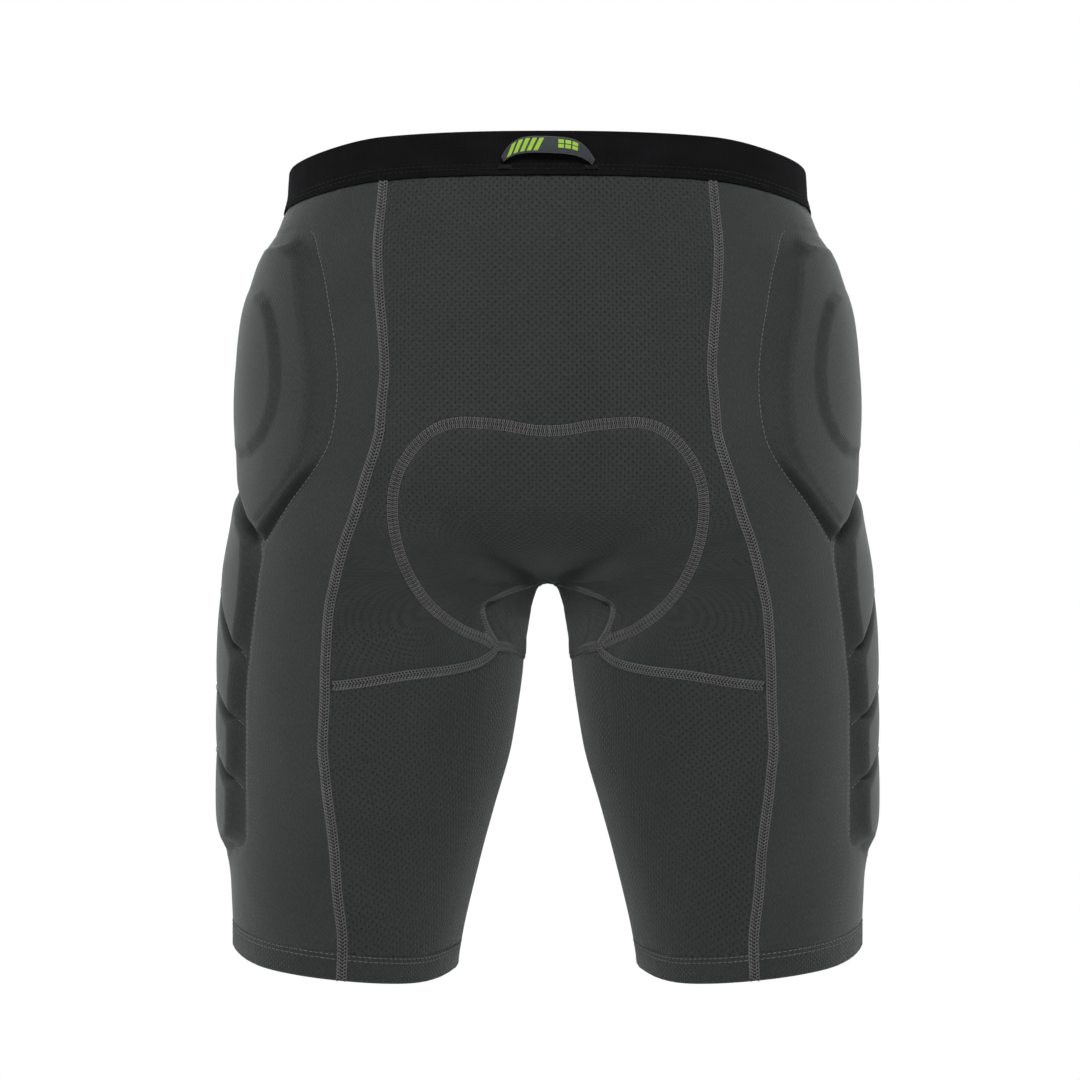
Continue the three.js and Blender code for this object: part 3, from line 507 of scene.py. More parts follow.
class Threads:
    """Many round threads gathered into one mesh."""

    SIDES_ROUND = 5
    # a plump stitch: (place along it in lengths, height in radii, thickness in radii)
    DASH = np.array([
        (-0.5, -1.1, 0.45), (-0.4, -0.2, 0.85), (-0.15, 0.35, 1),
        (0.15, 0.35, 1), (0.4, -0.2, 0.85), (0.5, -1.1, 0.45)])

    def __init__(self):
        self.points, self.faces, self.count = [], [], 0

    def keep(self, points, faces):
        self.points.append(points)
        self.faces.append(faces + self.count)
        self.count += len(points)

    def many(self, paths, up, radius):
        """Threads along paths (threads, steps, 3), with one up direction for each thread."""
        threads, steps = paths.shape[:2]
        sides = self.SIDES_ROUND
        along = np.empty_like(paths)
        along[:, 1:-1] = paths[:, 2:] - paths[:, :-2]
        along[:, 0] = paths[:, 1] - paths[:, 0]
        along[:, -1] = paths[:, -1] - paths[:, -2]
        along = unit(along)
        across = unit(np.cross(along, up[:, None]))
        rise = np.cross(across, along)
        angle = (np.arange(sides) / sides * 2 * np.pi + 0.3)[:, None]
        radius = np.broadcast_to(np.asarray(radius, float), (steps,))
        ring = across[:, :, None] * np.cos(angle) + rise[:, :, None] * np.sin(angle)
        ring = paths[:, :, None] + ring * radius[:, None, None]
        tips = np.stack([
            paths[:, 0] - along[:, 0] * radius[0] * 0.8,
            paths[:, -1] + along[:, -1] * radius[-1] * 0.8], 1)
        points = np.concatenate([ring.reshape(threads, -1, 3), tips], 1)
        side = np.arange(sides)
        after = (side + 1) % sides
        first_tip, last = steps * sides, (steps - 1) * sides
        tip = np.full(sides, first_tip)
        faces = facing_out(points[0], np.concatenate([
            grid_faces(steps, sides, wrap=True)[:, ::-1],
            np.stack([tip, side, after, after], -1),
            np.stack([tip + 1, last + after, last + side, last + side], -1)]))
        shift = (np.arange(threads) * points.shape[1])[:, None, None]
        self.keep(points.reshape(-1, 3), (faces[None] + shift).reshape(-1, 4))

    def lay(self, places, up, along, across, forward, rise, radius):
        """One bent thread at each place, from offsets across, along and above the seam."""
        aside = unit(np.cross(along, up))
        steps = zip(across, forward, rise)
        paths = np.stack([places + aside * a + along * b + up * c for a, b, c in steps], 1)
        self.many(paths, up, radius)

    def dashes(self, places, up, along, length, radius, lift=0.1):
        """One short stitch at each place, its ends diving into the cloth."""
        forward, rise, thick = self.DASH.T
        self.lay(places, up, along, np.zeros(len(rise)), forward * length,
                 (rise + lift) * radius, thick * radius)

    def dashed(self, path, up, length, gap, radius):
        self.dashes(*walk(path, up, length + gap), length, radius)

    def strip(self, path, up, width, low, high):
        """A thin crowned band under the threads."""
        across = unit(np.cross(unit(np.gradient(path, axis=0)), up))
        shoulder = lerp(low, high, 0.7)
        profile = [
            (-0.5, low), (-0.47, shoulder), (-0.3, high), (0, high + 0.08),
            (0.3, high), (0.47, shoulder), (0.5, low)]
        sections = np.stack([path + across * (a * width) + up * b for a, b in profile], 1)
        count, size = sections.shape[:2]
        points = sections.reshape(-1, 3)
        caps = np.array([(0, i, i + 1, i + 1) for i in range(1, size - 1)])
        faces = np.concatenate([
            grid_faces(count, size, wrap=True), caps[:, [0, 2, 1, 1]],
            caps + (count - 1) * size])
        self.keep(points, facing_out(points, faces))

    def mesh(self, name):
        faces = np.concatenate(self.faces)
        triangle = faces[:, 2] == faces[:, 3]
        points = np.concatenate(self.points)
        return new_mesh(name, points, faces[~triangle], faces[triangle][:, :3])

    def make(self, name):
        return new_object(name, self.mesh(name))


# ------------------------------------------------------------------ relief of the pads
def line_distance(a, z, line):
    line = np.asarray(line, float)
    best = np.full(a.shape, 1e9)
    for (a0, z0), (a1, z1) in zip(line[:-1], line[1:]):
        run, rise = a1 - a0, z1 - z0
        square = run * run + rise * rise
        if square < 1e-12:
            continue
        part = np.clip(((a - a0) * run + (z - z0) * rise) / square, 0, 1)
        best = np.minimum(best, (a - a0 - part * run) ** 2 + (z - z0 - part * rise) ** 2)
    return np.sqrt(best)


def outline_distance(a, z, outline):
    """Distance inside (+) or outside (-) of a closed outline."""
    outline = np.asarray(outline, float)
    line = np.concatenate([outline, outline[:1]])
    inside = np.zeros(a.shape, bool)
    for (a0, z0), (a1, z1) in zip(line[:-1], line[1:]):
        spans = (z0 > z) != (z1 > z)
        with np.errstate(divide="ignore", invalid="ignore"):
            meets = (a1 - a0) * (z - z0) / (z1 - z0) + a0
        inside ^= spans & (a < meets)
    distance = line_distance(a, z, line)
    return np.where(inside, distance, -distance)


def closed(half):
    """A half outline (a >= 0, from the top middle to the bottom middle) made whole."""
    half = np.asarray(half, float)
    return np.concatenate([half, half[::-1] * [-1, 1]])


def column(table, heights, shift=0.0):
    """Outline points down a table of degrees."""
    return [(float(table(z)) * ARC + shift, z) for z in heights]


def bow(middle, drop, share):
    """Height of a line across the leg that bows down (or up) towards its ends."""
    return middle - drop * share * share


def bowed(degrees, middle, drop, reach):
    return [(deg * ARC, bow(middle, drop, deg / reach)) for deg in degrees]


# Half outlines in (arc, z): the stitch line, the first level and the second level of the hip
# pad, then the stitch line and the level of the thigh pad.
HIP_STITCH = [
    (0, 434), (55, 433.5), (72, 433), (80, 431),
    *column(stitch_deg, [427, 417, 406, 395, 383, 371, 360, 349, 338, 329, 320, 310, 301, 293,
                         285, 276, 266, 257, 251], -1.8),
    *bowed((46, 42, 38, 32, 26, 20, 14, 9, 5, 0), 287, 35, 50)]
HIP_FIRST = [
    (0, 423), (40, 422.5), (62, 421.5), (70, 418.5),
    *column(level_deg, [412, 400, 390, 380, 370, 360, 350, 340, 330, 320, 311, 304, 297, 290,
                        283, 276, 270, 264]),
    *bowed((44, 40, 33, 26, 19, 12, 6, 0), 295.5, 37, 48)]
HIP_SECOND = [
    (0, 399), (30, 397.5), (50, 394), (62, 388), (70, 378), (76, 365), (79.5, 350), (80, 336),
    (77.5, 322), (71, 311), (60, 304), (42, 303), (20, 308), (0, 310)]
THIGH_STITCH = [
    *bowed((0, 5, 9, 14, 20, 26, 32, 38, 44, 48), 284, 33.5, 49),
    *column(stitch_deg, [244, 236, 228, 220, 210, 200, 191, 183, 172, 162, 150, 140, 130, 120,
                         110, 104, 95, 88]),
    (41.3 * ARC, 82), (39.8 * ARC, 78), (37.5 * ARC, 75.6), (34 * ARC, 74.6),
    *bowed((29, 24, 18, 12, 6, 0), 69, -6.5, 30)]
THIGH_LEVEL = [
    *bowed((0, 5, 9, 14, 20, 26, 32, 38, 42), 278.5, 33.5, 49),
    *column(level_deg, [240, 233, 224, 215, 206, 195, 183, 172, 161, 150, 140, 130, 120, 110,
                        103, 95, 89], 3.6),
    (33 * ARC, 83.5), (30 * ARC, 81),
    *bowed((25, 18, 12, 6, 0), 76, -4.5, 28)]
# grooves across the thigh pad, from (middle z, drop, reach in degrees)
GROOVES = [
    bowed(np.linspace(-reach - 1, reach + 1, 41), middle, drop, reach)
    for middle, drop, reach in ((226, 42, 42.6), (168, 22, 40.3), (131, 22, 40.5))]


def wall_share(outer, inner, rim=0):
    """0 at an outer outline, 1 at the inner one, from the distances to both."""
    outer = outer - rim
    return np.clip(outer / np.maximum(outer - np.minimum(inner, 0), 1e-3), 0, 1)


def hip_relief(deg, z):
    a = deg * ARC
    stitch, first, second = (
        outline_distance(a, z, closed(half)) for half in (HIP_STITCH, HIP_FIRST, HIP_SECOND))
    under, over = fade(z, 308, 284), fade(z, 402, 418)
    # the wall: low at the stitch line, steep just under the edge of the first level
    share = wall_share(stitch, first, rim=1.2)
    wall = lerp(5.0 * share ** 1.25, 6.8 * fade(share, 0, 0.42), under)
    wall = lerp(wall, 5.0 * share ** 2.6, over)
    first_step = fade(first, -1, 1) * lerp(2.8, 1.6, under)
    corner_recess = 1.5 * bell(np.abs(a) - 75, 5) * bell(z - 425, 4.5)
    second_step = fade(second, -3.2, 2.8) * 3.5 + fade(second, 0, 30) * 0.5
    height = np.where(stitch > 0, wall + first_step - corner_recess + second_step, 0)
    # a shallow hollow at the outside of the leg
    hollow = (3.0 * bell(z - 302, 19) + 0.9) * bell(deg, 34)
    return np.maximum(height - hollow * np.clip(height / 6, 0, 1), 0)


def thigh_relief(deg, z):
    a = deg * ARC
    stitch, level = (
        outline_distance(a, z, closed(half)) for half in (THIGH_STITCH, THIGH_LEVEL))
    wall = 6.4 * wall_share(stitch, level, rim=1.0) ** 1.45 + fade(level, -0.9, 1.5) * 1.9
    groove = np.minimum.reduce([line_distance(a, z, line) for line in GROOVES])
    floor = lerp(0.5, 0.1, fade(np.abs(deg), 8, 22))
    cut = floor + (1 - floor) * (1 - (1 - np.clip(groove / 4.6, 0, 1)) ** 1.6)
    hollow = 1.8 * bell(deg, 34) * bell(z - 255, 15)
    return np.where(stitch > 0, (wall - hollow) * cut, 0)


def blur(grid, rounds):
    for _ in range(rounds):
        after = grid.copy()
        around = grid[:-2, 1:-1] + grid[2:, 1:-1] + grid[1:-1, :-2] + grid[1:-1, 2:]
        after[1:-1, 1:-1] = (grid[1:-1, 1:-1] * 4 + around) / 8
        grid = after
    return grid


def soften_down(grid, rounds):
    for _ in range(rounds):
        after = grid.copy()
        after[1:-1] = (grid[:-2] + 2 * grid[1:-1] + grid[2:]) / 4
        grid = after
    return grid


# The relief is looked up in a table, one row to each millimetre of z.
RELIEF_STEP = 0.5
RELIEF_DEG = np.arange(-104, 104.01, RELIEF_STEP)
RELIEF_Z = np.arange(-12, 472.01, 1.0)


def relief_table():
    """At the outside of the leg the levels melt into one smooth curve."""
    deg, z = np.meshgrid(RELIEF_DEG, RELIEF_Z)
    raw = np.maximum(np.maximum(hip_relief(deg, z), thigh_relief(deg, z)), 0)
    table = blur(raw, 1)
    return lerp(table, soften_down(table, 150), 0.88 * fade(np.abs(deg), 34, 12))


RELIEF = relief_table()


def relief(deg, z):
    """How far the side panel stands off the skin."""
    deg, z = np.broadcast_arrays(np.asarray(deg, float), np.asarray(z, float))
    col = np.clip((deg - RELIEF_DEG[0]) / RELIEF_STEP, 0, len(RELIEF_DEG) - 1.001)
    row = np.clip(z - RELIEF_Z[0], 0, len(RELIEF_Z) - 1.001)
    i, j = col.astype(int), row.astype(int)
    right, down = col - i, row - j
    above = RELIEF[j, i] * (1 - right) + RELIEF[j, i + 1] * right
    below = RELIEF[j + 1, i] * (1 - right) + RELIEF[j + 1, i + 1] * right
    return above * (1 - down) + below * down


# ------------------------------------------------------------------ materials
# spans of the sources that drive a shade
FULL, WAVE, SOFT, CRISP = (0, 1), (-1, 1), (0.3, 0.7), (0.25, 0.75)


class Mat:
    """A Principled material in millimetres, on the UV map or on object coordinates."""

    def __init__(self, name, on_uv=False):
        self.material = bpy.data.materials.new(name)
        self.material.use_nodes = True
        self.tree = self.material.node_tree
        self.tree.nodes.clear()
        self.out = self.new("ShaderNodeOutputMaterial")
        self.bsdf = self.new("ShaderNodeBsdfPrincipled")
        self.put(self.out.inputs[0], self.bsdf.outputs[0])
        if on_uv:
            source = self.new("ShaderNodeUVMap")
            source.uv_map = "mm"
            self.place = source.outputs[0]
        else:
            self.place = self.scaled(self.new("ShaderNodeTexCoord").outputs["Object"], 1000.0)

    @cached_property
    def axes(self):
        split = self.new("ShaderNodeSeparateXYZ")
        self.put(split.inputs[0], self.place)
        return tuple(split.outputs)

    x = property(lambda self: self.axes[0])
    y = property(lambda self: self.axes[1])
    z = property(lambda self: self.axes[2])

    def new(self, kind, **settings):
        node = self.tree.nodes.new(kind)
        for key, value in settings.items():
            setattr(node, key, value)
        return node

    def put(self, socket, value):
        if isinstance(value, bpy.types.NodeSocket):
            self.tree.links.new(value, socket)
        else:
            socket.default_value = value

    def scaled(self, vector, factor):
        node = self.new("ShaderNodeVectorMath", operation="SCALE")
        self.put(node.inputs[0], vector)
        node.inputs[3].default_value = factor
        return node.outputs[0]

    def math(self, operation, first, second=0.0, third=None):
        node = self.new("ShaderNodeMath", operation=operation)
        self.put(node.inputs[0], first)
        self.put(node.inputs[1], second)
        if third is not None:
            self.put(node.inputs[2], third)
        return node.outputs[0]

    def add(self, first, second):
        return self.math("ADD", first, second)

    def sub(self, first, second):
        return self.math("SUBTRACT", first, second)

    def mul(self, first, *others):
        for other in others:
            first = self.math("MULTIPLY", first, other)
        return first

    def mul_add(self, value, factor, plus):
        return self.math("MULTIPLY_ADD", value, factor, plus)

    def wave(self, value, period):
        return self.math("SINE", self.mul_add(value, 2 * math.pi / period, 0.0))

    def remap(self, node, value, span, to):
        for socket, setting in zip(node.inputs[:5], (value, *span, *to)):
            self.put(socket, setting)
        return node.outputs[0]

    def step(self, value, start, end, to=(0.0, 1.0)):
        node = self.new("ShaderNodeMapRange", interpolation_type="SMOOTHSTEP")
        return self.remap(node, value, (start, end), to)

    def ramp(self, value, span, to):
        return self.remap(self.new("ShaderNodeMapRange"), value, span, to)

    def noise(self, size, detail=2.0, stretch=(1, 1, 1)):
        node = self.new("ShaderNodeVectorMath", operation="MULTIPLY")
        self.put(node.inputs[0], self.place)
        node.inputs[1].default_value = tuple(k / size for k in stretch)
        cloud = self.new("ShaderNodeTexNoise")
        self.put(cloud.inputs["Vector"], node.outputs[0])
        cloud.inputs["Scale"].default_value = 1.0
        cloud.inputs["Detail"].default_value = detail
        cloud.inputs["Roughness"].default_value = 0.5
        return cloud.outputs[0]

    def mix(self, share, first, second):
        node = self.new("ShaderNodeMix", data_type="RGBA", blend_type="MIX")
        for i, value in ((0, share), (6, first), (7, second)):
            self.put(node.inputs[i], value)
        return node.outputs[2]

    def tint(self, colour, shade):
        """A colour times a shade."""
        node = self.new("ShaderNodeCombineXYZ")
        for socket, channel in zip(node.inputs, colour):
            self.put(socket, self.mul(shade, float(channel)))
        return node.outputs[0]

    def bump(self, height, strength=0.8):
        node = self.new("ShaderNodeBump")
        node.inputs["Strength"].default_value = strength
        node.inputs["Distance"].default_value = 0.001
        self.put(node.inputs["Height"], height)
        self.put(self.bsdf.inputs["Normal"], node.outputs[0])

    def set(self, **inputs):
        for key, value in inputs.items():
            self.put(self.bsdf.inputs[key.replace("_", " ")], value)


def lattice(mat, pitch, radii, warp=0.25):
    """1 in the middle of each hole of a staggered lattice, 0 between the holes."""
    drift = mat.sub(mat.noise(size=6.0, detail=1.0), 0.5)
    x = mat.mul_add(drift, warp * 2, mat.x)
    y = mat.mul_add(drift, -warp * 1.4, mat.y)

    def cell(value, size, phase, height):
        place = mat.math("FRACT", mat.mul_add(value, 1 / size, phase))
        return mat.mul(mat.sub(place, 0.5), height)

    nearest = None
    for phase in (0.0, 0.5):
        a = cell(x, pitch[0], phase, pitch[0])
        b = cell(y, pitch[1], phase, pitch[1] * 0.82)
        distance = mat.math("SQRT", mat.add(mat.mul(a, a), mat.mul(b, b)))
        nearest = mat.math("MINIMUM", nearest, distance) if nearest else distance
    return mat.step(nearest, *radii, to=(1.0, 0.0))


def knit_height(mat, wale, course):
    """The fine columns of loops of a warp knit, -1 to 1."""
    columns = mat.wave(mat.x, wale)
    arch = mat.mul_add(mat.math("ABSOLUTE", columns), course * 0.35, mat.y)
    return mat.add(mat.mul(columns, 0.55), mat.mul(mat.wave(arch, course), 0.45))


def stretch_mesh(name, base, hole, wale=0.95, course=0.8, pitch=(4.45, 4.05),
                 radii=(0.38, 0.74), sheen=0.35, depth=1.0):
    """Knit with small holes; hole is how much they darken it. The attribute of worn cloth and
    painted shade lightens it where worn and darkens it where shade is painted.
    """
    mat = Mat(name, on_uv=True)
    knit = knit_height(mat, wale, course)
    holes = lattice(mat, pitch, radii)
    cloud = mat.noise(size=38.0, detail=3.0, stretch=(1, 0.7, 1))
    fleck = mat.noise(size=1.1, stretch=(1, 0.45, 1))
    # one attribute lightens worn cloth and darkens painted shade in hollows, channels and
    # recesses
    wear_and_shade = mat.new("ShaderNodeAttribute", attribute_name="wear_and_shade").outputs["Fac"]
    shade = mat.mul(
        mat.ramp(cloud, SOFT, to=(0.93, 1.07)),
        mat.ramp(fleck, CRISP, to=(0.72, 1.28)),
        mat.ramp(knit, WAVE, to=(0.9, 1.1)),
        # painted shade where negative: darker colour in hollows and under the pad's walls;
        # lighter where positive, for worn cloth
        mat.mul_add(wear_and_shade, 0.30, 1.0),
        mat.mul_add(holes, -hole, 1.0))
    mat.set(Base_Color=mat.tint(base, shade),
            Roughness=mat.ramp(fleck, FULL, to=(0.72, 0.92)), Specular_IOR_Level=0.22,
            Sheen_Weight=sheen, Sheen_Roughness=0.42, Sheen_Tint=(0.80, 0.86, 0.84, 1))
    height = mat.mul_add(fleck, 0.10, mat.mul(knit, 0.085 * depth))
    mat.bump(mat.mul_add(holes, -0.42 * depth, height))
    return mat.material


def plain(name, base, rough, size, amount, depth, sheen=0.2, specular=0.25):
    """A mottled plain surface: amount is the contrast and size the grain."""
    mat = Mat(name)
    grain, cloud = mat.noise(size, detail=3.0), mat.noise(size=26.0)
    shade = mat.mul(mat.ramp(grain, CRISP, to=(1 - amount, 1 + amount)),
                    mat.ramp(cloud, SOFT, to=(0.94, 1.06)))
    roughness = mat.ramp(grain, (0.2, 0.8), to=(rough - 0.08, min(rough + 0.08, 1.0)))
    mat.set(Base_Color=mat.tint(base, shade), Roughness=roughness,
            Specular_IOR_Level=specular, Sheen_Weight=sheen)
    mat.bump(mat.mul(grain, depth))
    return mat.material


def spun_thread(name, base, twist=0.55, rough=0.62, sheen=0.25):
    """Fine twist lines and a light and dark mottling."""
    mat = Mat(name)
    lines = mat.wave(mat.add(mat.add(mat.x, mat.y), mat.mul(mat.z, 1.7)), twist)
    grain, cloud = mat.noise(size=0.8), mat.noise(size=9.0)
    shade = mat.mul(
        mat.ramp(lines, WAVE, to=(0.82, 1.14)),
        mat.ramp(cloud, SOFT, to=(0.86, 1.12)),
        mat.ramp(grain, CRISP, to=(0.88, 1.12)))
    mat.set(Base_Color=mat.tint(base, shade), Roughness=rough, Specular_IOR_Level=0.3,
            Sheen_Weight=sheen, Sheen_Roughness=0.4)
    mat.bump(mat.mul_add(lines, 0.03, mat.mul(grain, 0.05)), strength=0.7)
    return mat.material


def ribbed_band():
    mat = Mat("ribbed_band_elastic", on_uv=True)
    rib, weft = mat.wave(mat.x, period=1.5), mat.wave(mat.y, period=0.7)
    grain = mat.noise(size=0.9)
    cloud = mat.noise(size=22.0, detail=3.0, stretch=(1, 2, 1))
    shade = mat.mul(mat.ramp(rib, WAVE, to=(0.85, 1.15)), mat.ramp(cloud, SOFT, to=(0.8, 1.25)))
    mat.set(Base_Color=mat.tint((0.0060, 0.0060, 0.0068), shade),
            Roughness=mat.ramp(grain, FULL, to=(0.72, 0.9)), Specular_IOR_Level=0.08,
            Sheen_Weight=0.05, Sheen_Roughness=0.5, Sheen_Tint=(0.35, 0.35, 0.4, 1))
    mat.bump(mat.add(mat.mul_add(rib, 0.05, mat.mul(weft, 0.03)), mat.mul(grain, 0.08)))
    return mat.material


def braided_core():
    mat = Mat("braided_core")
    one = mat.wave(mat.add(mat.x, mat.z), period=2.2)
    other = mat.wave(mat.sub(mat.x, mat.z), period=2.2)
    shade = mat.ramp(mat.mul(one, other), WAVE, to=(0.7, 1.3))
    mat.set(Base_Color=mat.tint((0.018, 0.018, 0.021), shade), Roughness=0.7)
    mat.bump(mat.mul(one, other, 0.2))
    return mat.material


def open_lining():
    mat = Mat("open_lining_mesh", on_uv=True)
    holes = lattice(mat, pitch=(3.2, 3.2), radii=(0.55, 0.85), warp=0.1)
    grain = mat.noise(size=0.9)
    shade = mat.mul(mat.ramp(grain, CRISP, to=(0.85, 1.15)), mat.mul_add(holes, -0.8, 1.0))
    mat.set(Base_Color=mat.tint((0.03, 0.032, 0.032), shade), Roughness=0.85,
            Sheen_Weight=0.2)
    mat.bump(mat.mul_add(holes, -0.5, mat.mul(grain, 0.1)))
    return mat.material


def seat_pad_knit():
    mat = Mat("brushed_seat_pad_knit", on_uv=True)
    nap = mat.noise(size=0.7, detail=3.0, stretch=(1, 0.5, 1))
    cloud = mat.noise(size=14.0, detail=3.0)
    knit = knit_height(mat, wale=1.3, course=1.1)
    soft = mat.mul(mat.ramp(cloud, SOFT, to=(0.9, 1.1)), mat.ramp(knit, WAVE, to=(0.92, 1.08)))
    shade = mat.mul(mat.ramp(nap, CRISP, to=(0.82, 1.18)), soft)
    mat.set(Base_Color=mat.tint((0.05, 0.062, 0.066), shade), Roughness=0.95,
            Sheen_Weight=0.5, Sheen_Roughness=0.6)
    mat.bump(mat.mul_add(nap, 0.16, mat.mul(knit, 0.06)))
    return mat.material


def seat_foam():
    mat = Mat("embossed_seat_foam")
    cells = mat.new("ShaderNodeTexVoronoi", feature="F1")
    mat.put(cells.inputs["Vector"], mat.scaled(mat.place, 0.9))
    cells.inputs["Scale"].default_value = 1.0
    cloud = mat.noise(size=12.0)
    shade = mat.mul(mat.ramp(cells.outputs[0], FULL, to=(0.8, 1.2)),
                    mat.ramp(cloud, SOFT, to=(0.88, 1.1)))
    mat.set(Base_Color=mat.tint((0.055, 0.07, 0.06), shade), Roughness=0.9)
    mat.bump(mat.mul(cells.outputs[0], 0.3))
    return mat.material


def woven_ribbon():
    """Slate grey satin with lime blocks: x runs along the ribbon, y across it from 0 to 9."""
    mat = Mat("woven_ribbon", on_uv=True)
    weave = mat.mul(mat.wave(mat.x, period=0.55), mat.wave(mat.y, period=0.5))
    cloud = mat.noise(size=3.0, detail=3.0, stretch=(0.3, 1, 1))

    def window(value, low, high, edge):
        """1 between low and high, with soft edges."""
        return mat.mul(mat.step(value, *low), mat.step(value, *high)) if edge is None else None

    def between(value, low, high):
        return mat.mul(mat.step(value, *low), mat.step(value, *high))

    def repeat(value, pitch, off):
        """1 over the first part of each pitch, falling to 0 between the two values of off."""
        return mat.step(mat.math("FRACT", mat.mul(value, 1 / pitch)), *off, to=(1.0, 0.0))

    # leaning bars on one end
    lean = mat.mul_add(mat.y, 0.55, mat.x)
    bars = mat.mul(
        between(lean, (6.4, 6.7), (26.0, 25.7)),
        repeat(mat.sub(lean, 6.6), pitch=3.9, off=(0.62, 0.68)),
        between(mat.y, (0.9, 1.2), (8.2, 7.9)))
    # a block of small rectangles on the other
    block = mat.mul(between(mat.x, (-17.1, -16.9), (-5.1, -5.3)),
                    between(mat.y, (2.9, 3.1), (8.1, 7.9)))
    tiles = mat.mul(repeat(mat.add(mat.x, 17.0), pitch=4.0, off=(0.78, 0.84)),
                    repeat(mat.sub(mat.y, 3.0), pitch=2.6, off=(0.76, 0.83)))
    lime = mat.math("MINIMUM", mat.add(bars, mat.mul(block, tiles)), 1.0)
    shade = mat.mul(mat.ramp(weave, WAVE, to=(0.82, 1.18)),
                    mat.ramp(cloud, CRISP, to=(0.88, 1.12)))
    colour = mat.mix(lime, mat.tint((0.034, 0.040, 0.046), shade),
                     mat.tint((0.40, 0.68, 0.055), shade))
    edge = mat.math("MAXIMUM", mat.step(mat.y, 0.55, 0.25), mat.step(mat.y, 8.45, 8.75))
    colour = mat.mix(mat.mul(edge, 0.55), colour, (0.13, 0.145, 0.155, 1))
    mat.set(Base_Color=colour, Roughness=0.5, Specular_IOR_Level=0.4, Sheen_Weight=0.25)
    mat.bump(mat.mul_add(lime, 0.06, mat.mul(weave, 0.05)))
    return mat.material


BODY = (0.040, 0.0425, 0.0415)
MATERIALS = {
    "mesh": stretch_mesh("perforated_stretch_mesh", BODY, hole=0.5),
    "side": stretch_mesh(
        "fine_stretch_knit", (0.043, 0.046, 0.045), hole=0.3, wale=0.9, course=0.75,
        pitch=(2.6, 2.3), radii=(0.22, 0.46), sheen=0.4, depth=0.3),
    "hem": stretch_mesh("hem_knit", BODY, hole=0.35, pitch=(3.0, 2.7), radii=(0.28, 0.56)),
    "thread": spun_thread("seam_polyester_thread", (0.172, 0.172, 0.172)),
    "cover_thread": spun_thread("seat_pad_polyester_thread", (0.19, 0.189, 0.189)),
    "light_thread": spun_thread("pad_stitch_thread", (0.20, 0.195, 0.19)),
    "seam_base": plain(
        "seam_allowance", (0.021, 0.021, 0.0205), rough=0.9, size=0.7, amount=0.2, depth=0.1),
    "foam": plain(
        "moulded_impact_foam", (0.016, 0.018, 0.021), rough=0.8, size=0.9, amount=0.25,
        depth=0.25, sheen=0.05, specular=0.3),
    "black_thread": spun_thread(
        "black_satin_thread", (0.0045, 0.0045, 0.005), twist=0.5, rough=0.68, sheen=0.12),
    "silicone": plain(
        "silicone_gripper", (0.035, 0.037, 0.038), rough=0.35, size=3.0, amount=0.08,
        depth=0.06, sheen=0.0, specular=0.5),
    "band": ribbed_band(),
    "core": braided_core(),
    "lining": open_lining(),
    "pad_knit": seat_pad_knit(),
    "pad_foam": seat_foam(),
    "label": woven_ribbon(),
}


# ------------------------------------------------------------------ finishing a piece
def finish(ob, materials, node, body=None):
    """Give a piece its materials and tell the frame what it follows and replaces. Without a
    body its transform is baked into its mesh."""
    for key in materials.split():
        ob.data.materials.append(MATERIALS[key])
    if body:
        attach(ob, body)
    else:
        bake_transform(ob)
    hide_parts(node)


def both_sheets(name, points, normals, low, high, material, node=None, cloth=None,
                wear_and_shade=None, middle_rows=None):
    """A sheet and its mirror image. A * in a name stands for left or right; cloth holds the
    arc lengths across and down."""
    for side, hand in SIDES:
        uv = None if cloth is None else np.stack([cloth[0] * side, -cloth[1]], -1)
        ob = sheet(name.replace("*", hand), mirrored(points, side), mirrored(normals, side),
                   low, high, uv, wear_and_shade, middle_rows)
        finish(ob, material, (node or name).replace("*", hand))


def both_rings(name, ring, material, uv=None, wear_and_shade=None):
    for side, hand in SIDES:
        ob = sweep(name.replace("*", hand), mirrored(ring, side), uv, wear_and_shade)
        finish(ob, material, name.replace("*", hand))


def seam_pucker(distance, along, seed):
    """A dip beside a sewn edge, and small gathers fading out."""
    gathers = noise(along, distance * 0.3, 6.5, seed)
    return -0.45 * bell(distance, 3.2) + 0.22 * gathers * bell(distance, 9.0)


def band_pucker(across, down, seed):
    """Finer gathers under the waistband."""
    gathers = noise(across, down * 0.4, 5.5, seed)
    return 0.22 * gathers * bell(down, 9.0) - 0.35 * bell(down, 2.5)


# ------------------------------------------------------------------ seat and front panels
def panel_grid(face, rows, cols, straight):
    """Skin points of the left half of a panel, from the middle to the side seam and from the
    waistband to the crotch. The first straight rows run down the middle line."""
    z = np.linspace(449, 172, 200)
    edge = skin(face * (seam_deg(z) + GAP), z)
    seam = edge[:, [0, 2]]
    seam[0, 1] = band_low(edge[0, 1]) - 0.2
    deg = np.linspace(138.4, float(seam_deg(172)) + GAP, 80)
    bottom = skin(face * deg, thigh_top(deg) + 0.25)[:, [0, 2]]
    seam[-1] = bottom[-1]
    crotch = crotch_line(face, 120)
    crotch[-1] = bottom[0]
    x = np.linspace(0, seam[0, 0], cols + 1)
    top_y = face_on(x, np.full(x.shape, 452.0), face)[:, 1]
    top = np.stack([x, band_low(top_y) - 0.2], -1)
    middle = resample([top[0], crotch[0]], straight)
    inner = np.concatenate([middle, resample(crotch, rows - straight)[1:]])
    flat = coons(inner, resample(seam, rows), top, resample(bottom, cols))
    x = np.where(np.abs(flat[..., 0]) < 1e-6, 0, flat[..., 0])
    return face_on(x, flat[..., 1], face)


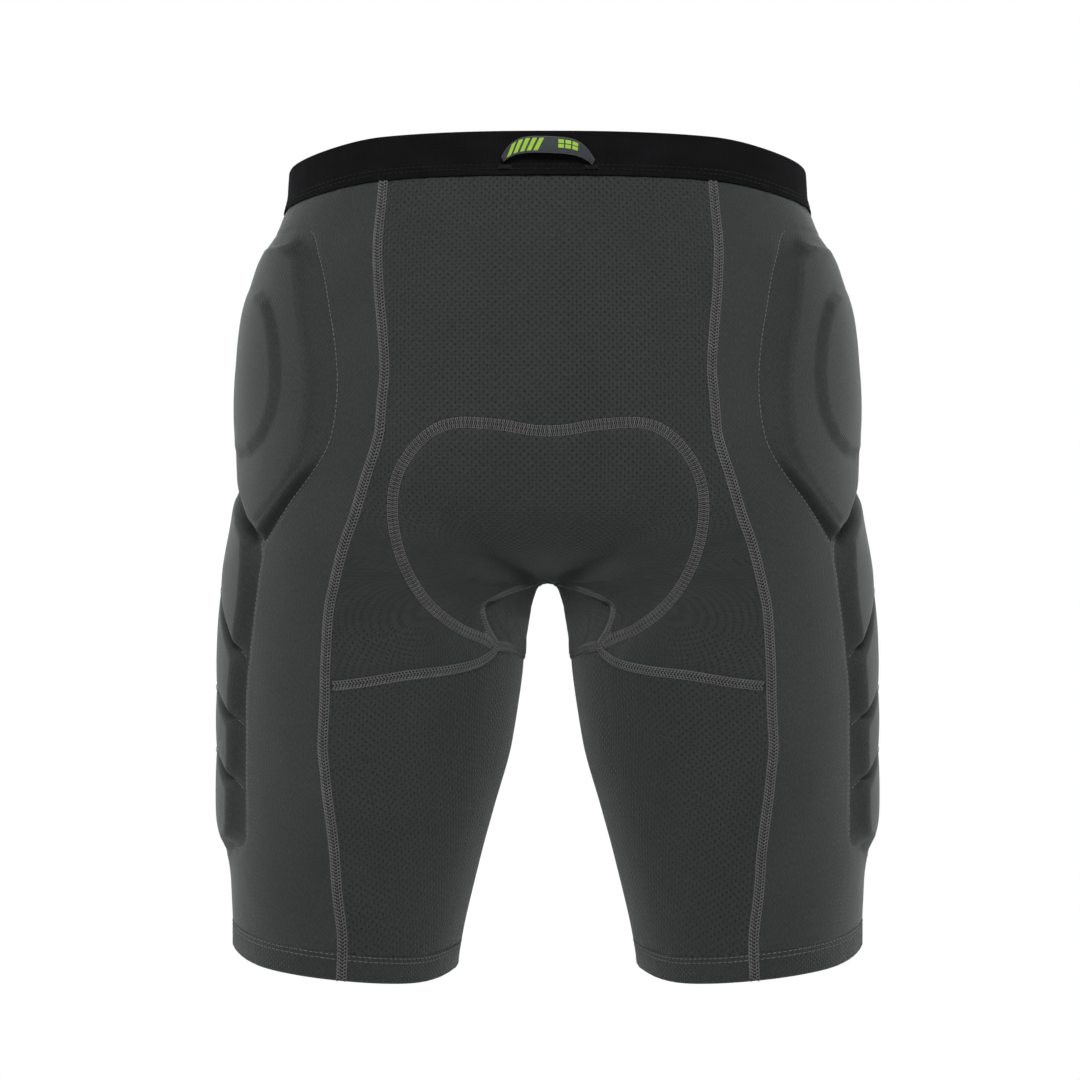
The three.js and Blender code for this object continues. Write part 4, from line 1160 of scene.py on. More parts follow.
def panel_height(face, points, across, down):
    x, z = points[..., 0], points[..., 2]
    height = seam_pucker(across[:, -1:] - across, down, seed=11)
    height = height + seam_pucker(down[-1:] - down, across, seed=12) * fade(x, 24, 32)
    height = height + band_pucker(across, down, seed=13)
    gap = points[:, :, None] - crotch_points(face)
    crotch = np.sqrt((gap ** 2).sum(-1).min(-1))
    height = height - 0.5 * bell(crotch, 2.6)
    height = height + 0.2 * noise(x, z, 4.5, seed=14) * bell(crotch, 9)
    height = height + 0.16 * noise(across, down, 34, seed=15)
    height = height + 0.07 * noise(across, down, 12, seed=16)
    if face == FRONT:
        # a centre crease below the waist
        return height - 0.4 * bell(x, 2.6) * fade(z, 380, 360)
    # the seat pad swells the cloth inside its stitch line
    outline = np.concatenate([SEAT_LINE, [[0, 175.0]], SEAT_LINE[::-1] * [-1, 1]])
    inside = outline_distance(x, z, outline)
    stitch = bell(line_distance(x, z, SEAT_LINE), 2.8) * fade(z, 196, 206)
    height = height + 1.1 * fade(inside, -1, 9) - 0.75 * stitch
    return height + 0.2 * noise(across, down, 5.0, seed=17) * bell(np.abs(inside), 8)


def build_main_panel(face, name, rows, cols, straight_share):
    straight = int(round(rows * straight_share))
    points = panel_grid(face, rows, cols, straight)
    across, down = arcs(points)
    height = panel_height(face, points, across, down)
    wear_and_shade = 0.5 * bell(across[:, -1:] - across, 4.0)
    if face == BACK:
        distance = line_distance(points[..., 0], points[..., 2], SEAT_LINE)
        wear_and_shade = wear_and_shade + 0.45 * bell(distance, 4.5)
    both_sheets(name + "_*", points, normal(points), height - SHEET, height + SHEET, "mesh",
                name, (across, down), wear_and_shade, straight + 1)


def build_gusset():
    rows, cols = 34, 54
    back, front = (resample(crotch_points(face), rows) for face in (BACK, FRONT))
    deg = np.linspace(138.6, 360 - 138.6, cols + 1)
    outer = skin(deg, thigh_top(fold_deg(deg)) + 0.25)
    share = np.linspace(0, 1, cols + 1)[:, None]
    middle = on_skin(back[0] * (1 - share) + front[0] * share, rounds=14)
    middle[:, 0] = 0
    grid = coons(back, front, middle, outer)
    grid[..., 0] = np.maximum(grid[..., 0], 0)
    grid = on_skin(grid, rounds=8)
    grid[0, :, 0] = 0
    # turned, so that the middle line is column 0
    points, normals = grid.transpose(1, 0, 2), normal(grid).transpose(1, 0, 2)
    across, down = arcs(points)
    height = -0.4 * bell(np.minimum(down, down[-1:] - down), 2.6)
    height = height + 0.22 * noise(across, down, 6, seed=21)
    # ripples towards the thigh
    ripple = 0.5 * np.sin(across / 4.6) * bell(across[:, -1:] - across, 14)
    height = height + ripple * np.sin(np.pi * np.clip(down / down[-1:], 0, 1)) ** 2
    both_sheets("crotch_gusset_*", points, normals, height - SHEET, height + SHEET, "mesh",
                "crotch_gusset", (across, down), np.zeros(across.shape),
                points.shape[0])


# ------------------------------------------------------------------ side panels and pads
def side_grid(cols, rows, inset=GAP, top_gap=0.2, bottom=HEM_TOP):
    """Angles and heights of a side panel, with columns closer together near the pad edges."""
    even = np.linspace(0, 1, 400)
    spread = np.concatenate([[0], np.cumsum(1 + 1.1 * bell(even[1:] - 0.66, 0.17))])
    share = np.linspace(-1, 1, cols)
    share = np.sign(share) * np.interp(np.abs(share), spread / spread[-1], even)
    top, low = np.full(cols, 450.0), np.full(cols, 20.0)
    for _ in range(6):
        top = band_low(skin(share * (seam_deg(top) - inset), top)[:, 1]) - top_gap
        low = hem_line(skin(share * (seam_deg(low) - inset), low)[:, 0]) + bottom
    down = np.linspace(0, 1, rows)[:, None]
    z = top[None] * (1 - down) + low[None] * down
    return share[None] * (seam_deg(z) - inset), z


def build_side_panels():
    deg, z = side_grid(181, 258)
    points = skin(deg, z)
    normals = normal(points)
    raised = relief(deg, z)
    arc = deg * ARC
    hip, hip_first, thigh = (
        outline_distance(arc, z, closed(half)) for half in (HIP_STITCH, HIP_FIRST, THIGH_STITCH))
    across, down = arcs(points + normals * raised[..., None], 90)
    seam = np.minimum(across - across[:, :1], across[:, -1:] - across)
    height = raised + seam_pucker(seam, down, seed=31)
    height = height + 0.12 * noise(across, down, 30, seed=32)
    height = height + 0.05 * noise(across, down, 11, seed=33)
    height = height + band_pucker(across, down, seed=34)
    outline = np.minimum(np.abs(hip), np.abs(thigh))
    height = height - 0.5 * bell(outline, 1.5)
    height = height + 0.16 * noise(across, down, 3.6, seed=35) * bell(outline, 4.5)
    # the raised edges of the levels are lightened as worn cloth, the hollows at their feet
    # darkened as painted shade, and the cloth beside the seams lightened as worn
    wear_and_shade = np.clip((raised - blur(raised, 6)) * 0.9, -0.4, 1.0) + 0.5 * bell(seam, 4.0)
    # painted shade: the colour of the cloth in the channel under the lower edge and in the
    # recessed top corner of the hip pad is darkened where the pad's wall shades it
    share = wall_share(hip, hip_first)
    channel_shade = fade(z, 306, 286) * fade(z, 246, 254) * (hip > 0)
    channel_shade = channel_shade * fade(share, 0, 0.08) * fade(share, 0.62, 0.42) * fade(np.abs(deg), 18, 30)
    corner_shade = bell(np.abs(arc) - 73, 7) * bell(z - 421, 6)
    wear_and_shade = wear_and_shade - 1.7 * channel_shade - 1.1 * corner_shade * (hip > -1)
    both_sheets("side_panel_*", points, normals, height - SHEET, height + SHEET, "side",
                cloth=(across, down), wear_and_shade=wear_and_shade)


def raised_skin(deg, z, lift):
    points = skin(deg, z)
    normals = normal(points)
    return points + normals * (relief(deg, z) + lift)[..., None], normals


def side_surface(deg, z, lift):
    """Points and directions on the outer face of the side panel."""
    points, normals = raised_skin(deg, z, lift)
    step = 0.6
    aside, above = raised_skin(deg + step, z, lift)[0], raised_skin(deg, z + step, lift)[0]
    true = unit(np.cross(aside - points, above - points))
    true *= np.sign((true * normals).sum(-1, keepdims=True))
    return points, unit(true + normals)


def build_foam_pad(name, top, bottom, cols, rows):
    """A foam block with a rounded rim; top and bottom are (z in the middle, z at the ends)."""
    share = np.linspace(-1, 1, cols)
    high, low = (bow(middle, middle - end, np.abs(share)) for middle, end in (top, bottom))
    down = np.linspace(0, 1, rows)[:, None]
    z = high[None] * (1 - down) + low[None] * down
    deg = share[None] * (stitch_deg(z) - 3.1)
    points = skin(deg, z)
    # the lowest relief nearby, so that the foam stays under the cloth in the grooves
    nearby = [relief(deg + a, z + b) for a in (-1.2, 0.0, 1.2) for b in (-1.6, 0.0, 1.6)]
    cover = np.minimum.reduce(nearby)
    height = np.maximum(np.minimum(cover, blur(cover, 2)) - 1.65, -1.25)
    ends = (1 - np.abs(share))[None] * cols / 5
    rim = np.clip(np.minimum(np.minimum(down, 1 - down) * rows / 2.5, ends), 0, 1)
    height = -1.3 + (height + 1.3) * np.sqrt(rim * (2 - rim))
    across, along = arcs(points)
    pitch = 9.0
    waves = np.cos(across / pitch * 2 * np.pi) * np.cos(along / pitch * 2 * np.pi)
    dimples = 0.55 * np.clip(waves - 0.55, 0, 1) * (height > 3)
    both_sheets(name, points, normal(points), -1.5, height - dimples, "foam")


# top and bottom edge of each thigh block, as (z in the middle, z at the ends)
THIGH_BLOCKS = (
    ((279.5, 245.5), (230.5, 188.5)), ((222.5, 180.5), (171.5, 149.5)),
    ((164.5, 142.5), (134.5, 112.5)), ((127.5, 105.5), (72.5, 79)))


def build_foam_pads():
    build_foam_pad("hip_pad_*", (427.5, 424.5), (293, 259), cols=81, rows=91)
    for i, (top, bottom) in enumerate(THIGH_BLOCKS, 1):
        build_foam_pad("thigh_pad_*_%d" % i, top, bottom, cols=61, rows=33)


def build_linings():
    """Linings between the pads and the wearer."""
    points = skin(*side_grid(61, 95, inset=3.5, top_gap=12, bottom=28))
    across, down = arcs(points, 30)
    quilt = 0.35 * noise(across, down, 14, seed=41)
    both_sheets("pad_lining_*", points, normal(points), -3.1 + quilt, -2.3 + quilt, "lining",
                cloth=(across, down))


def build_thigh_panel(face, name, cols, rows=84):
    end = (INSEAM if face == BACK else 360 - INSEAM) - GAP
    share = np.linspace(0, 1, cols)[None]
    row = np.linspace(0, 1, rows)[:, None]
    z = np.full((rows, cols), 100.0)
    for _ in range(9):
        deg = lerp(seam_deg(z) + GAP, end, share)
        top = thigh_top(fold_deg(deg)) - 0.25
        low = hem_line(skin(face * deg, np.full(deg.shape, 20.0))[..., 0]) + HEM_TOP
        z = lerp(top, low, row)
    points = skin(face * deg, z)
    across, down = arcs(points)
    edge = np.minimum(across, across[:, -1:] - across)
    height = seam_pucker(edge, down, seed=51) + seam_pucker(down, across, seed=52)
    height = height + 0.16 * noise(across, down, 32, seed=53)
    height = height + 0.06 * noise(across, down, 11, seed=54)
    hem = down[-1:] - down
    height = height + 0.16 * noise(across, hem * 0.3, 4.5, seed=55) * bell(hem, 8)
    both_sheets(name, points, normal(points), height - SHEET, height + SHEET, "mesh",
                cloth=(across, down), wear_and_shade=0.5 * bell(edge, 4.0))


# ------------------------------------------------------------------ hems
def hem_ring(profile, count, ripple=0.0):
    """Sections round the leg for a closed profile of (depth, height above the hem line)."""
    deg = np.linspace(0, 360, count, endpoint=False)[:, None]
    depth, height = np.asarray(profile, float).T
    height = height + 0 * deg
    deg = deg + 0 * height
    points = skin(deg, height + 5.0)
    for _ in range(6):
        points = skin(deg, hem_line(points[..., 0]) + height)
    outward = normal(points)
    outward[..., 2] = 0
    gathers = ripple * noise(deg * 3.1, height * 0.5, 4.5, seed=61) * (depth > 0)
    ring = points + unit(outward) * (depth + gathers)[..., None]
    ring[..., 2] = hem_line(ring[..., 0]) + height
    return ring


def build_hem_bands():
    outer = [
        (0.78 - sum(0.22 * bell(height - row, 0.7) for row in HEM_ROWS), height)
        for height in np.linspace(1.2, 14.9, 24)]
    fold = [(-0.21 + 0.99 * math.cos(turn), 1.1 - 1.1 * math.sin(turn))
            for turn in np.linspace(0, np.pi, 9)[1:-1]]
    inner = [(-1.2, height) for height in np.linspace(1.2, 15.0, 10)]
    profile = outer[::-1] + fold + inner + [(-0.8, 15.25), (0.3, 15.25)]
    ring = hem_ring(profile, 300, ripple=0.14)
    uv = np.stack(np.broadcast_arrays(
        run_length(ring[:, 5])[:, None], -run_length(np.asarray(profile))[None]), -1)
    wear_and_shade = np.tile([0.5 if height < 1.2 else 0.0 for _, height in profile], len(ring))
    both_rings("hem_band_*", ring, "hem", uv.reshape(-1, 2), wear_and_shade)


def build_hem_grippers():
    ribs = [(-1.9 - 0.55 * abs(math.sin(math.pi * (height - 3) / 3.33)), height)
            for height in np.linspace(12.9, 3.1, 31)]
    ring = hem_ring([(-1.5, 3.2), (-1.5, 12.8)] + ribs, 160)
    both_rings("hem_gripper_*", ring, "silicone")


# ------------------------------------------------------------------ waistband
def band_points(angle, profile):
    """Sections round the waist for a profile of (depth, height above the lower edge)."""
    depth, height = np.asarray(profile, float).T
    angle = angle[:, None] + 0 * height
    height = height + 0 * angle
    cos, sin = np.cos(angle), np.sin(angle)
    z = 451 + height
    for _ in range(5):
        radius = depth + bisect(
            lambda out: pelvis_field(out * cos, out * sin, z) < 0,
            np.zeros(z.shape), np.full(z.shape, FAR))
        y = radius * sin
        z = band_low(y) + height
    return np.stack([radius * cos, y, z], -1)


def build_waistband():
    rise = np.linspace(0.5, BAND_HEIGHT, 34)
    depth = 1.8 + 0.12 * np.sin(np.pi * (rise - 7) / 16).clip(0)
    for row in BAND_ROWS:
        depth = depth - 0.3 * bell(rise - row, 0.7)
    fold = [(1.8 * math.cos(turn), BAND_HEIGHT + 1.8 * math.sin(turn))
            for turn in np.linspace(0, np.pi, 11)[1:-1]]
    inner = [(-1.8, height) for height in np.linspace(BAND_HEIGHT, 0.5, 14)]
    # the inside of the channel that holds the elastic
    channel = [(-0.9, 8), (-0.9, 22.8), (-0.5, 23.9), (0.5, 23.9), (0.9, 22.8), (0.9, 8),
               (0.95, 0.35)]
    profile = np.array([
        (1.25, 0.0), (1.65, 0.08), *zip(depth, rise), *fold, *inner,
        (-1.6, 0.1), (-1.15, 0.0), (-0.95, 0.35), *channel])
    angle = np.linspace(0, 2 * np.pi, 720, endpoint=False)
    ring = band_points(angle, profile)
    around = run_length(ring[:, 20])[:, None]
    # fine gathers over the outer and inner faces
    height = profile[None, :, 1]
    gathers = 0.13 * noise(around, height * 0.15, 4.2, seed=71)
    gathers = gathers + 0.06 * noise(around, height * 0.5, 1.9, seed=72)
    gathers = gathers * (np.abs(profile[None, :, 0]) > 1.2)
    outward = unit(np.stack([np.cos(angle), np.sin(angle), 0 * angle], -1))
    ring = ring + outward[:, None] * gathers[..., None]
    uv = np.stack(np.broadcast_arrays(around, run_length(profile)[None]), -1)
    ob = sweep("waistband_outer_band", ring, uv.reshape(-1, 2))
    finish(ob, "band", "waistband_outer", body="pelvis")

    heights = np.linspace(1.2, 22.4, 9)
    core = [*((0.7, z) for z in heights), (0.35, 23.2), (-0.35, 23.2),
            *((-0.7, z) for z in heights[::-1])]
    ob = sweep("waistband_core_elastic", band_points(angle[::2], core))
    finish(ob, "core", "waistband_elastic", body="pelvis")


# ------------------------------------------------------------------ seams
def walk(path, up, pitch, margin=0.0):
    """Places, ups and tangents at even steps along a dense path."""
    length = run_length(path)
    span = length[-1] - 2 * margin
    count = max(int(span / pitch), 2)
    run = margin + (np.arange(count) + 0.5) * (span / count)

    def sample(values, places):
        return np.stack([np.interp(places, length, column) for column in values.T], -1)

    along = sample(path, run + 0.4) - sample(path, run - 0.4)
    return sample(path, run), unit(sample(up, run)), unit(along)


def flatlock(path, up, lift, width):
    """A low base strip, leaning rungs, edge loops and two needle rows."""
    half = width / 2
    threads, base = Threads(), Threads()
    base.strip(path, up, width * 0.96, low=lift - 0.75, high=lift + 0.12)
    places, up, along = walk(path, up, pitch=1.9, margin=0.6)
    places = places + up * lift
    for sign in (-1, 1):
        threads.lay(
            places + along * (0.0 if sign > 0 else 0.5), up, along,
            across=sign * half * np.array([1, 0.75, 0.4, 0.08, -0.1]),
            forward=[-0.95, -0.7, -0.1, 0.5, 0.8], rise=[-0.1, 0.28, 0.44, 0.42, 0.25],
            radius=[0.22, 0.26, 0.28, 0.26, 0.21])
    for sign in (-1, 1):
        threads.lay(
            places + along * 0.95, up, along,
            across=sign * half * np.array([0.7, 0.95, 1.02, 0.95, 0.7]),
            forward=[-0.95, -0.55, 0.0, 0.55, 0.95], rise=[0.16, 0.1, 0.02, 0.1, 0.16],
            radius=0.24)
    aside = unit(np.cross(along, up))
    for row in (-0.34, 0.36):
        needle = places + aside * (row * half * 1.3) + up * 0.42
        threads.dashes(needle, up, along, length=1.55, radius=0.27, lift=0.2)
    return threads, base


def coverstitch(path, up, lift, width):
    """Two zigzags crossing between two needle rows."""
    half = width / 2
    threads, base = Threads(), Threads()
    base.strip(path, up, width * 0.98, low=lift - 0.7, high=lift + 0.02)
    places, up, along = walk(path, up, pitch=2.3)
    places = places + up * lift
    lean = np.array([-0.62, -0.42, 0.0, 0.42, 0.62])
    for sign in (-1, 1):
        across = sign * half * np.array([-1, -0.6, 0, 0.6, 1])
        threads.lay(places, up, along, across, forward=lean,
                    rise=[0.0, 0.3, 0.42, 0.3, 0.0], radius=0.17)
        threads.lay(places + along * 1.15, up, along, across, forward=-lean,
                    rise=[0.0, 0.22, 0.28, 0.22, 0.0], radius=0.08)
    aside = unit(np.cross(along, up))
    for sign in (-1, 1):
        needle = places + aside * (sign * half * 0.94) + up * 0.1
        threads.dashes(needle, up, along, length=1.9, radius=0.2, lift=0.3)
    return threads, base


def add_seam(name, node, threads, base, thread_material="thread"):
    """Threads and their base strip as one object with two materials."""
    ob = threads.make(name)
    thread_faces = len(ob.data.polygons)
    strip = base.mesh(name + "_base")
    work = bmesh.new()
    work.from_mesh(ob.data)
    work.from_mesh(strip)
    work.to_mesh(ob.data)
    work.free()
    bpy.data.meshes.remove(strip)
    faces = ob.data.polygons
    faces.foreach_set("use_smooth", np.ones(len(faces), bool))
    finish(ob, thread_material + " seam_base", node)
    material = (np.arange(len(faces)) >= thread_faces).astype(np.int32)
    faces.foreach_set("material_index", material)


def seam_pair(name, path, up, lift=SEAM_LIFT, width=5.6, node=None):
    for side, hand in SIDES:
        threads, base = flatlock(mirrored(path, side), mirrored(up, side), lift, width)
        add_seam(name.replace("*", hand), (node or name).replace("*", hand),
                 threads, base)


def build_seams():
    # side seams, standing up over the hem band
    for face, name in ((BACK, "seam_back_*"), (FRONT, "seam_front_*")):
        top = band_low(float(skin(face * seam_deg(452.0), 452.0)[1])) + 0.6
        low = float(hem_line(skin(face * 92.0, 4.0)[0])) + 0.4
        z = np.linspace(top, low, 420)
        path = skin(face * seam_deg(z), z)
        up = normal(path)
        seam_pair(name, path + up * (0.35 * fade(z, 18, 14))[:, None], up)

    # over the thigh panels, sinking towards the inseam
    for face, name, stop in ((BACK, "seam_rear_thigh_*", 197.5),
                             (FRONT, "seam_front_thigh_*", 162.5)):
        deg = np.linspace(float(seam_deg(172.0)) + 2.2, stop, 200)
        path = skin(face * deg, thigh_top(fold_deg(deg)))
        up = normal(path)
        seam_pair(name, path - up * (0.45 * fade(deg, 140, 160))[:, None], up, width=5.2)

    z = np.linspace(float(thigh_top(160.0)) - 2.5, float(hem_line(60.0)) + 0.6, 200)
    path = skin(INSEAM, z)
    seam_pair("seam_inseam_*", path, normal(path), lift=SEAM_LIFT + 0.3, width=4.8)

    for face, name in ((BACK, "seam_gusset_back"), (FRONT, "seam_gusset_front")):
        path = crotch_points(face, 160)
        up = normal(path, step=2.5)
        up[0, 0] = 0
        seam_pair(name + "_*", path, unit(up), lift=0.85, width=4.6, node=name)


def build_seat_coverstitch():
    line = face_on(SEAT_LINE[:, 0], SEAT_LINE[:, 1], BACK)
    line = on_skin(resample(line, 300), rounds=6)
    line[0, 0] = 0
    for side, hand in SIDES:
        path = mirrored(line, side)
        if side > 0:  # the left row bridges the middle
            path = np.concatenate([mirrored(line[2:0:-1], -1), path])
        threads, base = coverstitch(path, normal(path), lift=SEAM_LIFT, width=5.8)
        add_seam("seat_pad_coverstitch_" + hand, "seat_pad_coverstitch", threads, base,
                 thread_material="cover_thread")


# ------------------------------------------------------------------ rows of stitches
def stitch_pair(name, node, rows, length, gap, radius):
    for side, hand in SIDES:
        threads = Threads()
        for path, up in rows:
            threads.dashed(mirrored(path, side), mirrored(up, side), length, gap, radius)
        ob = threads.make(name + hand)
        finish(ob, "light_thread", node + hand)


def build_pad_stitching():
    """Stitches round the pad outlines and along the grooves."""
    rows = []
    for outline in (HIP_STITCH, THIGH_STITCH):
        line = closed(outline)
        line = resample(np.concatenate([line, line[:1]]), 500, smooth=1)
        points, up = side_surface(line[:, 0] / ARC, line[:, 1], SHEET - 0.35)
        keep = np.ones(len(line), bool)
        if outline is HIP_STITCH:  # the top edge of the hip pad has no stitches
            keep = (line[:, 1] < 431) & ((np.abs(line[:, 0]) > 60) | (line[:, 1] < 400))
        breaks = np.where(np.diff(keep.astype(int)))[0] + 1
        for run in np.split(np.arange(len(line)), breaks):
            if keep[run[0]] and len(run) > 6:
                rows.append((points[run], up[run]))
    for groove in GROOVES:
        line = resample(groove[1:-1], 120, smooth=1)
        rows.append(side_surface(line[:, 0] / ARC, line[:, 1], SHEET + 0.45))
    stitch_pair("pad_stitching_", "side_panel_", rows, length=2.2, gap=0.75, radius=0.24)


def build_hem_stitching():
    rows = []
    for height in HEM_ROWS:
        path = hem_ring([(0.62, height)], 720)[:, 0]
        path = np.concatenate([path, path[:1]])
        up = unit(np.cross(np.gradient(path, axis=0), [0, 0, 1.0]))
        up *= np.sign(((path - path.mean(0)) * up).sum(-1, keepdims=True))
        rows.append((path, up))
    stitch_pair("hem_stitching_", "hem_band_", rows, length=2.3, gap=0.8, radius=0.22)


def build_waistband_stitching():
    threads = Threads()
    angle = np.linspace(0, 2 * np.pi, 1441)
    up = unit(np.stack([np.cos(angle) / 158, np.sin(angle) / 105, 0 * angle], -1))
    for height in BAND_ROWS:
        path = band_points(angle, [(1.58, height)])[:, 0]
        threads.dashed(path, up, length=2.7, gap=0.7, radius=0.28)
    ob = threads.make("waistband_stitching")
    finish(ob, "black_thread", "waistband_outer", body="pelvis")


# ------------------------------------------------------------------ hanger loop and bartacks
def build_hanger_loop():
    """A ribbon arched across the back of the waistband."""
    half_length, width, half_thick = 26.0, 9.0, 0.36
    along = np.linspace(-1, 1, 140)[:, None]
    share = np.linspace(0, 1, 12)[None]
    arch = 1 - along ** 4
    x = half_length * along
    low = 463.6 + 5.4 * arch + 0.035 * x
    z = lerp(low, low + 3 + 6 * arch, share)
    y = 108.6 + 3.2 * (1 - along * along) + 0.8 * arch * share
    y = y + 0.35 * np.sin(math.pi * share) + 0.12 * np.sin(along * 9 + share * 2)
    middle = np.stack([x + 1.2 * (share - 0.5) * along, y, z], -1)
    thick = np.array([0, half_thick, 0])
    sections = np.concatenate([middle + thick, middle[:, ::-1] - thick], 1)
    uv = np.stack(np.broadcast_arrays(x, width * share), -1)
    uv = np.concatenate([uv, uv[:, ::-1]], 1).reshape(-1, 2)
    ob = sweep("hanger_loop_ribbon", sections, uv, wrap=False)
    finish(ob, "label", "hanger_loop", body="hanger_loop")


def build_bartack(side, hand):
    """A zigzag of ten pairs of strokes, crossed by two straight threads."""
    middle = np.array([side * 24.6, 106.0, 462.0])
    toward_back = np.array([[0, 1.0, 0]])
    threads = Threads()
    corner_x = np.linspace(-3.3, 3.3, 21)[:, None]
    corner_z = 1.15 * np.where(np.arange(21) % 2, 1, -1)[:, None]
    share = np.array([0, 0.15, 0.5, 0.85, 1])
    x, z = (lerp(corner[:-1], corner[1:], share) for corner in (corner_x, corner_z))
    y = np.array([0.25, 0.75, 0.95, 0.75, 0.25]) + 0 * x
    strokes = np.stack([x, y, z], -1)
    threads.many(middle + strokes, np.repeat(toward_back, len(strokes), 0), radius=0.27)
    for z in (-0.45, 0.45):
        x = np.linspace(-3.5, 3.5, 9)
        path = middle + np.stack([x, 0.62 + 0 * x, z + 0 * x], -1)
        threads.many(path[None], toward_back, radius=0.3)
    ob = threads.make("loop_bartack_threads_" + hand)
    finish(ob, "black_thread", "loop_bartack_" + hand, body="pelvis")


# ------------------------------------------------------------------ seat pad, inside
def build_seat_pad_base(rows=90, cols=50):
    straight = int(rows * 0.6)
    low, corner = [[0, 231.5]], [[34.5, 201.0]]
    crotch = np.concatenate([low, crotch_line(BACK, 30)[1:26], corner])
    inner = np.concatenate([
        resample([[0, 311], *low], straight), resample(crotch, rows - straight)[1:]])
    top = resample(np.concatenate([[[0, 311]], SEAT[1:7]]), cols)
    outer = resample(SEAT[6:16], rows)
    bottom = resample([*corner, [47, 201.9]], cols)
    top[-1], bottom[-1] = outer[0], outer[-1]
    x, z = np.moveaxis(coons(inner, outer, top, bottom), -1, 0)
    x = np.where(np.abs(x) < 1e-6, 0, x)
    points = face_on(x, z, BACK)
    across, down = arcs(points)
    edge = np.minimum(np.minimum(across[:, -1:] - across, down), down[-1:] - down)
    # crowned, thin at the rim, with a channel pressed round the foam
    ellipse = ((x - 42) / 31) ** 2 + ((z - 272) / 37) ** 2
    channel = np.minimum(np.abs(ellipse - 1) * 16, 6)
    puff = fade(edge, 0, 9) * (1 - 0.75 * bell(channel, 2.2))
    both_sheets("seat_pad_base_*", points, normal(points), -5.0 - 2.1 * puff, -4.2,
                "pad_knit", "seat_pad_base", (across, down), 0 * across,
                straight + 1)


def build_seat_pad_foam():
    """An oval insert with a crowned inner face and embossed dots."""
    right, up = np.meshgrid(np.linspace(-1, 1, 49), np.linspace(-1, 1, 49))
    x = 42 + 28 * right * np.sqrt(1 - up * up / 2)
    z = 272 - 34 * up * np.sqrt(1 - right * right / 2)
    points = face_on(x, z, BACK)
    reach = np.maximum(np.abs(right), np.abs(up))
    crown = np.sqrt(np.clip(1 - reach ** 3, 0, 1))
    pitch = 7
    waves = np.cos(x / pitch * 2 * np.pi) * np.cos(z / pitch * 2 * np.pi)
    dots = 0.35 * np.clip(waves, 0, 1) * (reach < 0.85)
    both_sheets("seat_pad_foam_*_insert", points, normal(points), -9.3 - 3.4 * crown + dots,
                -8.9, "pad_foam", "seat_pad_foam_*")


# ------------------------------------------------------------------ stage, light and camera (m)
def build_floor():
    """A paper sweep that rises behind the shorts' front; the camera sees it pure white."""
    level, bend, back_y, half_width = -0.16, 0.7, -1.2, 3.5
    profile = [(y, level) for y in (3.2, 1.5, 0.6, -0.6, back_y)]
    for turn in np.linspace(0, np.pi / 2, 14)[1:]:
        profile.append((back_y - bend * math.sin(turn), level + bend * (1 - math.cos(turn))))
    profile.append((-1.9, 3.0))
    points = [(x, y, z) for y, z in profile for x in (-half_width, half_width)]
    faces = [(2 * i, 2 * i + 1, 2 * i + 3, 2 * i + 2) for i in range(len(profile) - 1)]
    data = bpy.data.meshes.new("studio_sweep")
    data.from_pydata(points, [], faces)
    data.polygons.foreach_set("use_smooth", np.ones(len(faces), bool))
    floor = new_object("studio_sweep", data)
    mat = Mat("pale_paper")
    shade = mat.ramp(mat.noise(size=60.0), SOFT, to=(0.995, 1.0))
    mat.set(Base_Color=mat.tint((0.93, 0.93, 0.935), shade), Roughness=0.9,
            Specular_IOR_Level=0.1)
    glow = mat.new("ShaderNodeEmission")
    glow.inputs[0].default_value = (1, 1, 1, 1)
    seen = mat.new("ShaderNodeMixShader")
    mat.put(seen.inputs[0], mat.new("ShaderNodeLightPath").outputs["Is Camera Ray"])
    mat.put(seen.inputs[1], mat.bsdf.outputs[0])
    mat.put(seen.inputs[2], glow.outputs[0])
    mat.put(mat.out.inputs[0], seen.outputs[0])
    data.materials.append(mat.material)


def build_world():
    """The camera sees a white room; only the soft light of it stays low."""
    world = bpy.data.worlds.new("studio")
    bpy.context.scene.world = world
    world.use_nodes = True
    nodes, links = world.node_tree.nodes, world.node_tree.links
    light, seen = nodes["Background"], nodes.new("ShaderNodeBackground")
    for background, strength in ((light, 0.02), (seen, 1.0)):
        background.inputs[0].default_value = (1, 1, 1, 1)
        background.inputs[1].default_value = strength
    pick = nodes.new("ShaderNodeMixShader")
    links.new(nodes.new("ShaderNodeLightPath").outputs["Is Camera Ray"], pick.inputs[0])
    links.new(light.outputs[0], pick.inputs[1])
    links.new(seen.outputs[0], pick.inputs[2])
    links.new(pick.outputs[0], nodes["World Output"].inputs[0])


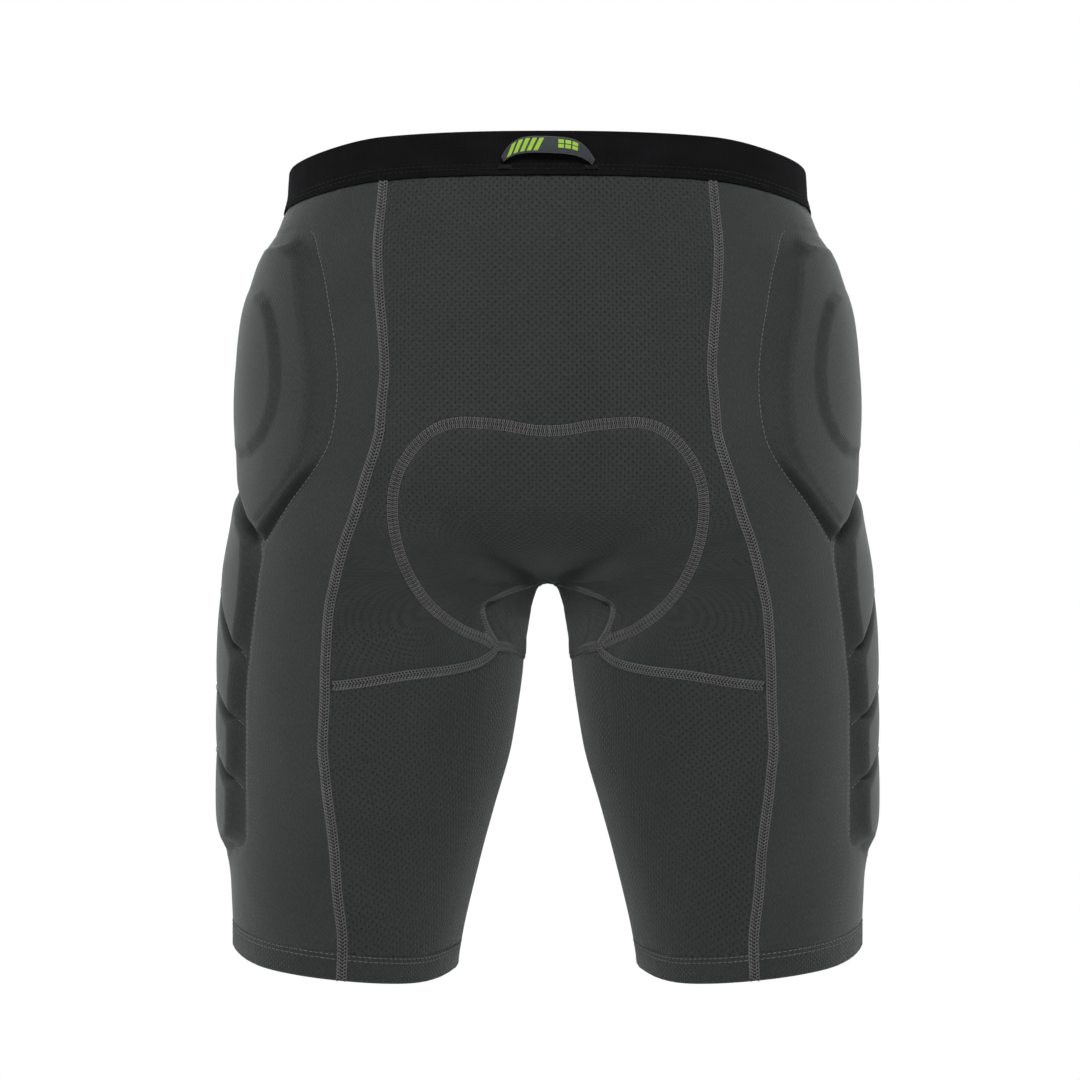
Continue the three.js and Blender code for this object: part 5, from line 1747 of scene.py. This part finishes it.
# name, place, height of the point it faces, width, height of the light, watts
SOFTBOXES = (
    ("softbox_high", (0, 1.7, 1.5), 0.3, 1.4, 0.8, 30),
    ("softbox_low_left", (1.3, -0.1, 0.0), 0.25, 0.5, 0.6, 5),
    ("softbox_low_right", (-1.3, -0.1, 0.0), 0.25, 0.5, 0.6, 5),
    ("softbox_side_left", (1.25, -0.5, 0.45), 0.25, 0.7, 1.5, 1.2),
    ("softbox_side_right", (-1.25, -0.5, 0.45), 0.25, 0.7, 1.5, 1.2),
    ("softbox_front", (0, -1.5, 1.5), 0.3, 1.4, 0.8, 14),
)


def build_lights():
    for name, place, target_z, width, height, power in SOFTBOXES:
        light = bpy.data.lights.new(name, "AREA")
        light.shape = "RECTANGLE"
        light.size = width
        light.size_y = height
        light.energy = power
        ob = new_object(name, light)
        ob.location = place
        aim = Vector((0, 0, target_z)) - Vector(place)
        ob.rotation_euler = aim.to_track_quat("-Z", "Y").to_euler()


def build_camera():
    """Looks level at the back of the shorts."""
    camera = bpy.data.cameras.new("camera")
    camera.lens = 83.333
    camera.sensor_width = 36
    camera.clip_start = 0.05
    ob = new_object("camera", camera)
    ob.location = (0.0045, 1.5 + FRAME_SHIFT[1] * MM, 0.254)
    ob.rotation_euler = (math.pi / 2, 0, math.pi)
    bpy.context.scene.camera = ob
    bpy.context.scene.view_settings.view_transform = "Standard"
    bpy.context.scene.view_settings.look = "None"


# ------------------------------------------------------------------ build
build_main_panel(BACK, "back_panel", rows=150, cols=66, straight_share=0.74)
build_main_panel(FRONT, "front_panel", rows=120, cols=56, straight_share=0.72)
build_gusset()
build_side_panels()
build_foam_pads()
build_linings()
build_thigh_panel(BACK, "rear_thigh_panel_*", cols=84)
build_thigh_panel(FRONT, "front_thigh_panel_*", cols=64)
build_hem_bands()
build_hem_grippers()
build_waistband()
build_seams()
build_seat_coverstitch()
build_pad_stitching()
build_hem_stitching()
build_waistband_stitching()
build_hanger_loop()
for side, hand in SIDES:
    build_bartack(side, hand)
build_seat_pad_base()
build_seat_pad_foam()
build_floor()
build_world()
build_lights()
build_camera()
